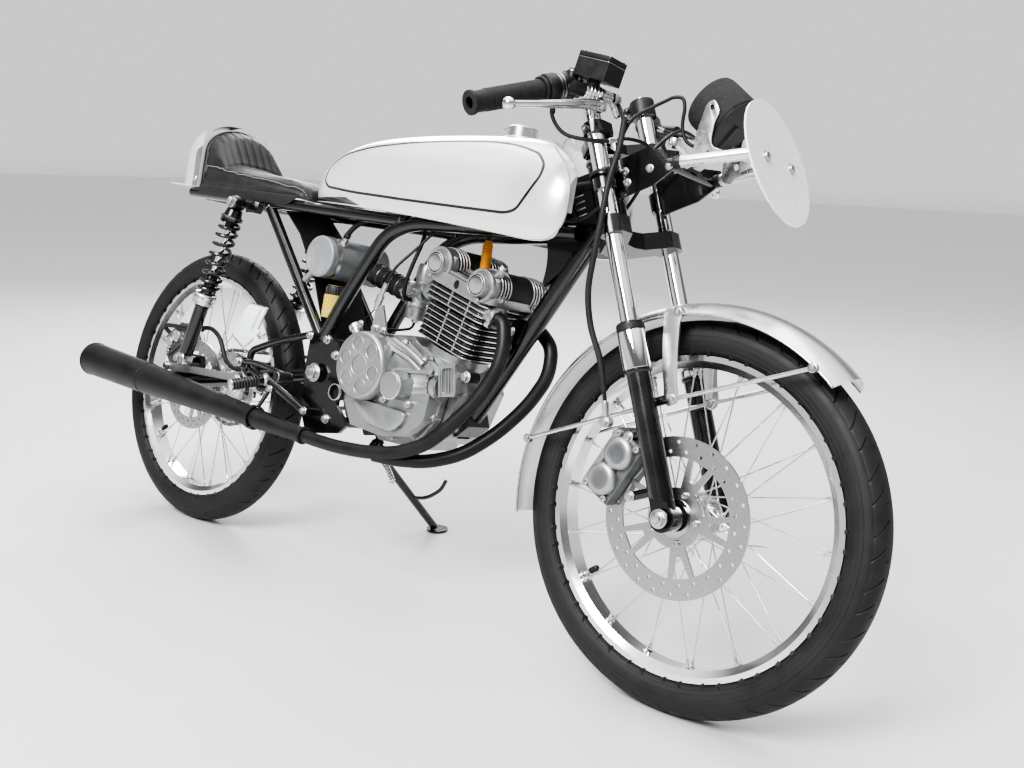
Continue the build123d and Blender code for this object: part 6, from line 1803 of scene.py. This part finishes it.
def make_camera():
    """The photograph's view, from the front right, a little above the tank."""
    yaw, pitch, roll = (Matrix.Rotation(radians(angle), 3, axis) for axis, angle in CAMERA_TURNS)
    right, ahead, up = (yaw @ pitch @ roll).col
    data = bpy.data.cameras.new("camera")
    data.sensor_width = 36.0
    data.lens = CAMERA_LENS
    camera = bpy.data.objects.new("camera", data)
    camera.matrix_world = Matrix.Translation(CAMERA_PLACE) @ Matrix((right, up,
                                                                     -ahead)).transposed().to_4x4()
    bpy.context.scene.collection.objects.link(camera)
    bpy.context.scene.camera = camera


def make_floor():
    """The pale floor under the bike."""
    mesh = bpy.data.meshes.new("floor")
    mesh.from_pydata([(-30, -30, 0), (30, -30, 0), (30, 30, 0), (-30, 30, 0)], [], [(0, 1, 2, 3)])
    floor = bpy.data.objects.new("floor", mesh)
    bpy.context.scene.collection.objects.link(floor)
    floor.data.materials.append(finish_of("floor_pale", (0.61, 0.61, 0.605), (0.63, 0.63, 0.625),
                                          (0.65, 0.75), 3))


ROOM_TONES = [
    # height on the room's wall from the floor up, brightness
    (0.0, 0.28), (0.47, 0.5), (0.498, 0.8), (0.60, 0.8), (0.66, 0.18), (0.76, 0.2), (0.84, 1.3), (1.0, 1.4),
]
LAMPS = [
    # name, place in metres, size, watts
    ("key", (0.6, -3.4, 3.6), 2.0, 250), ("overhead", (-0.2, 0.3, 3.6), 3.0, 60),
    ("rim_light", (-2.6, 2.2, 2.4), 1.6, 70),
]
LAMP_AIM = vec(0, 0, 0.45)


def make_light():
    """A pale room with a dark band above the bike, and three lamps."""
    world = bpy.data.worlds.new("studio")
    bpy.context.scene.world = world
    world.use_nodes = True
    tree, links = world.node_tree.nodes, world.node_tree.links
    place = tree.new("ShaderNodeTexCoord")
    parts = tree.new("ShaderNodeSeparateXYZ")
    height = tree.new("ShaderNodeMapRange")
    height.inputs["From Min"].default_value = -1.0
    links.new(place.outputs["Generated"], parts.inputs["Vector"])
    links.new(parts.outputs["Z"], height.inputs["Value"])
    tones = ramp(world, height.outputs["Result"],
                 *[(where, (tone, tone, tone * 1.01)) for where, tone in ROOM_TONES])
    links.new(tones, tree["Background"].inputs["Color"])
    tree["Background"].inputs["Strength"].default_value = 0.75
    for name, place, size, power in LAMPS:
        data = bpy.data.lights.new(name, "AREA")
        data.size = size
        data.energy = power
        lamp = bpy.data.objects.new(name, data)
        lamp.location = place
        lamp.rotation_euler = (LAMP_AIM - Vector(place)).to_track_quat("-Z", "Y").to_euler()
        bpy.context.scene.collection.objects.link(lamp)
    view = bpy.context.scene.view_settings
    view.view_transform = "AgX"
    view.look = "AgX - High Contrast"
    view.exposure = 0.15


make_camera()
make_floor()
make_light()
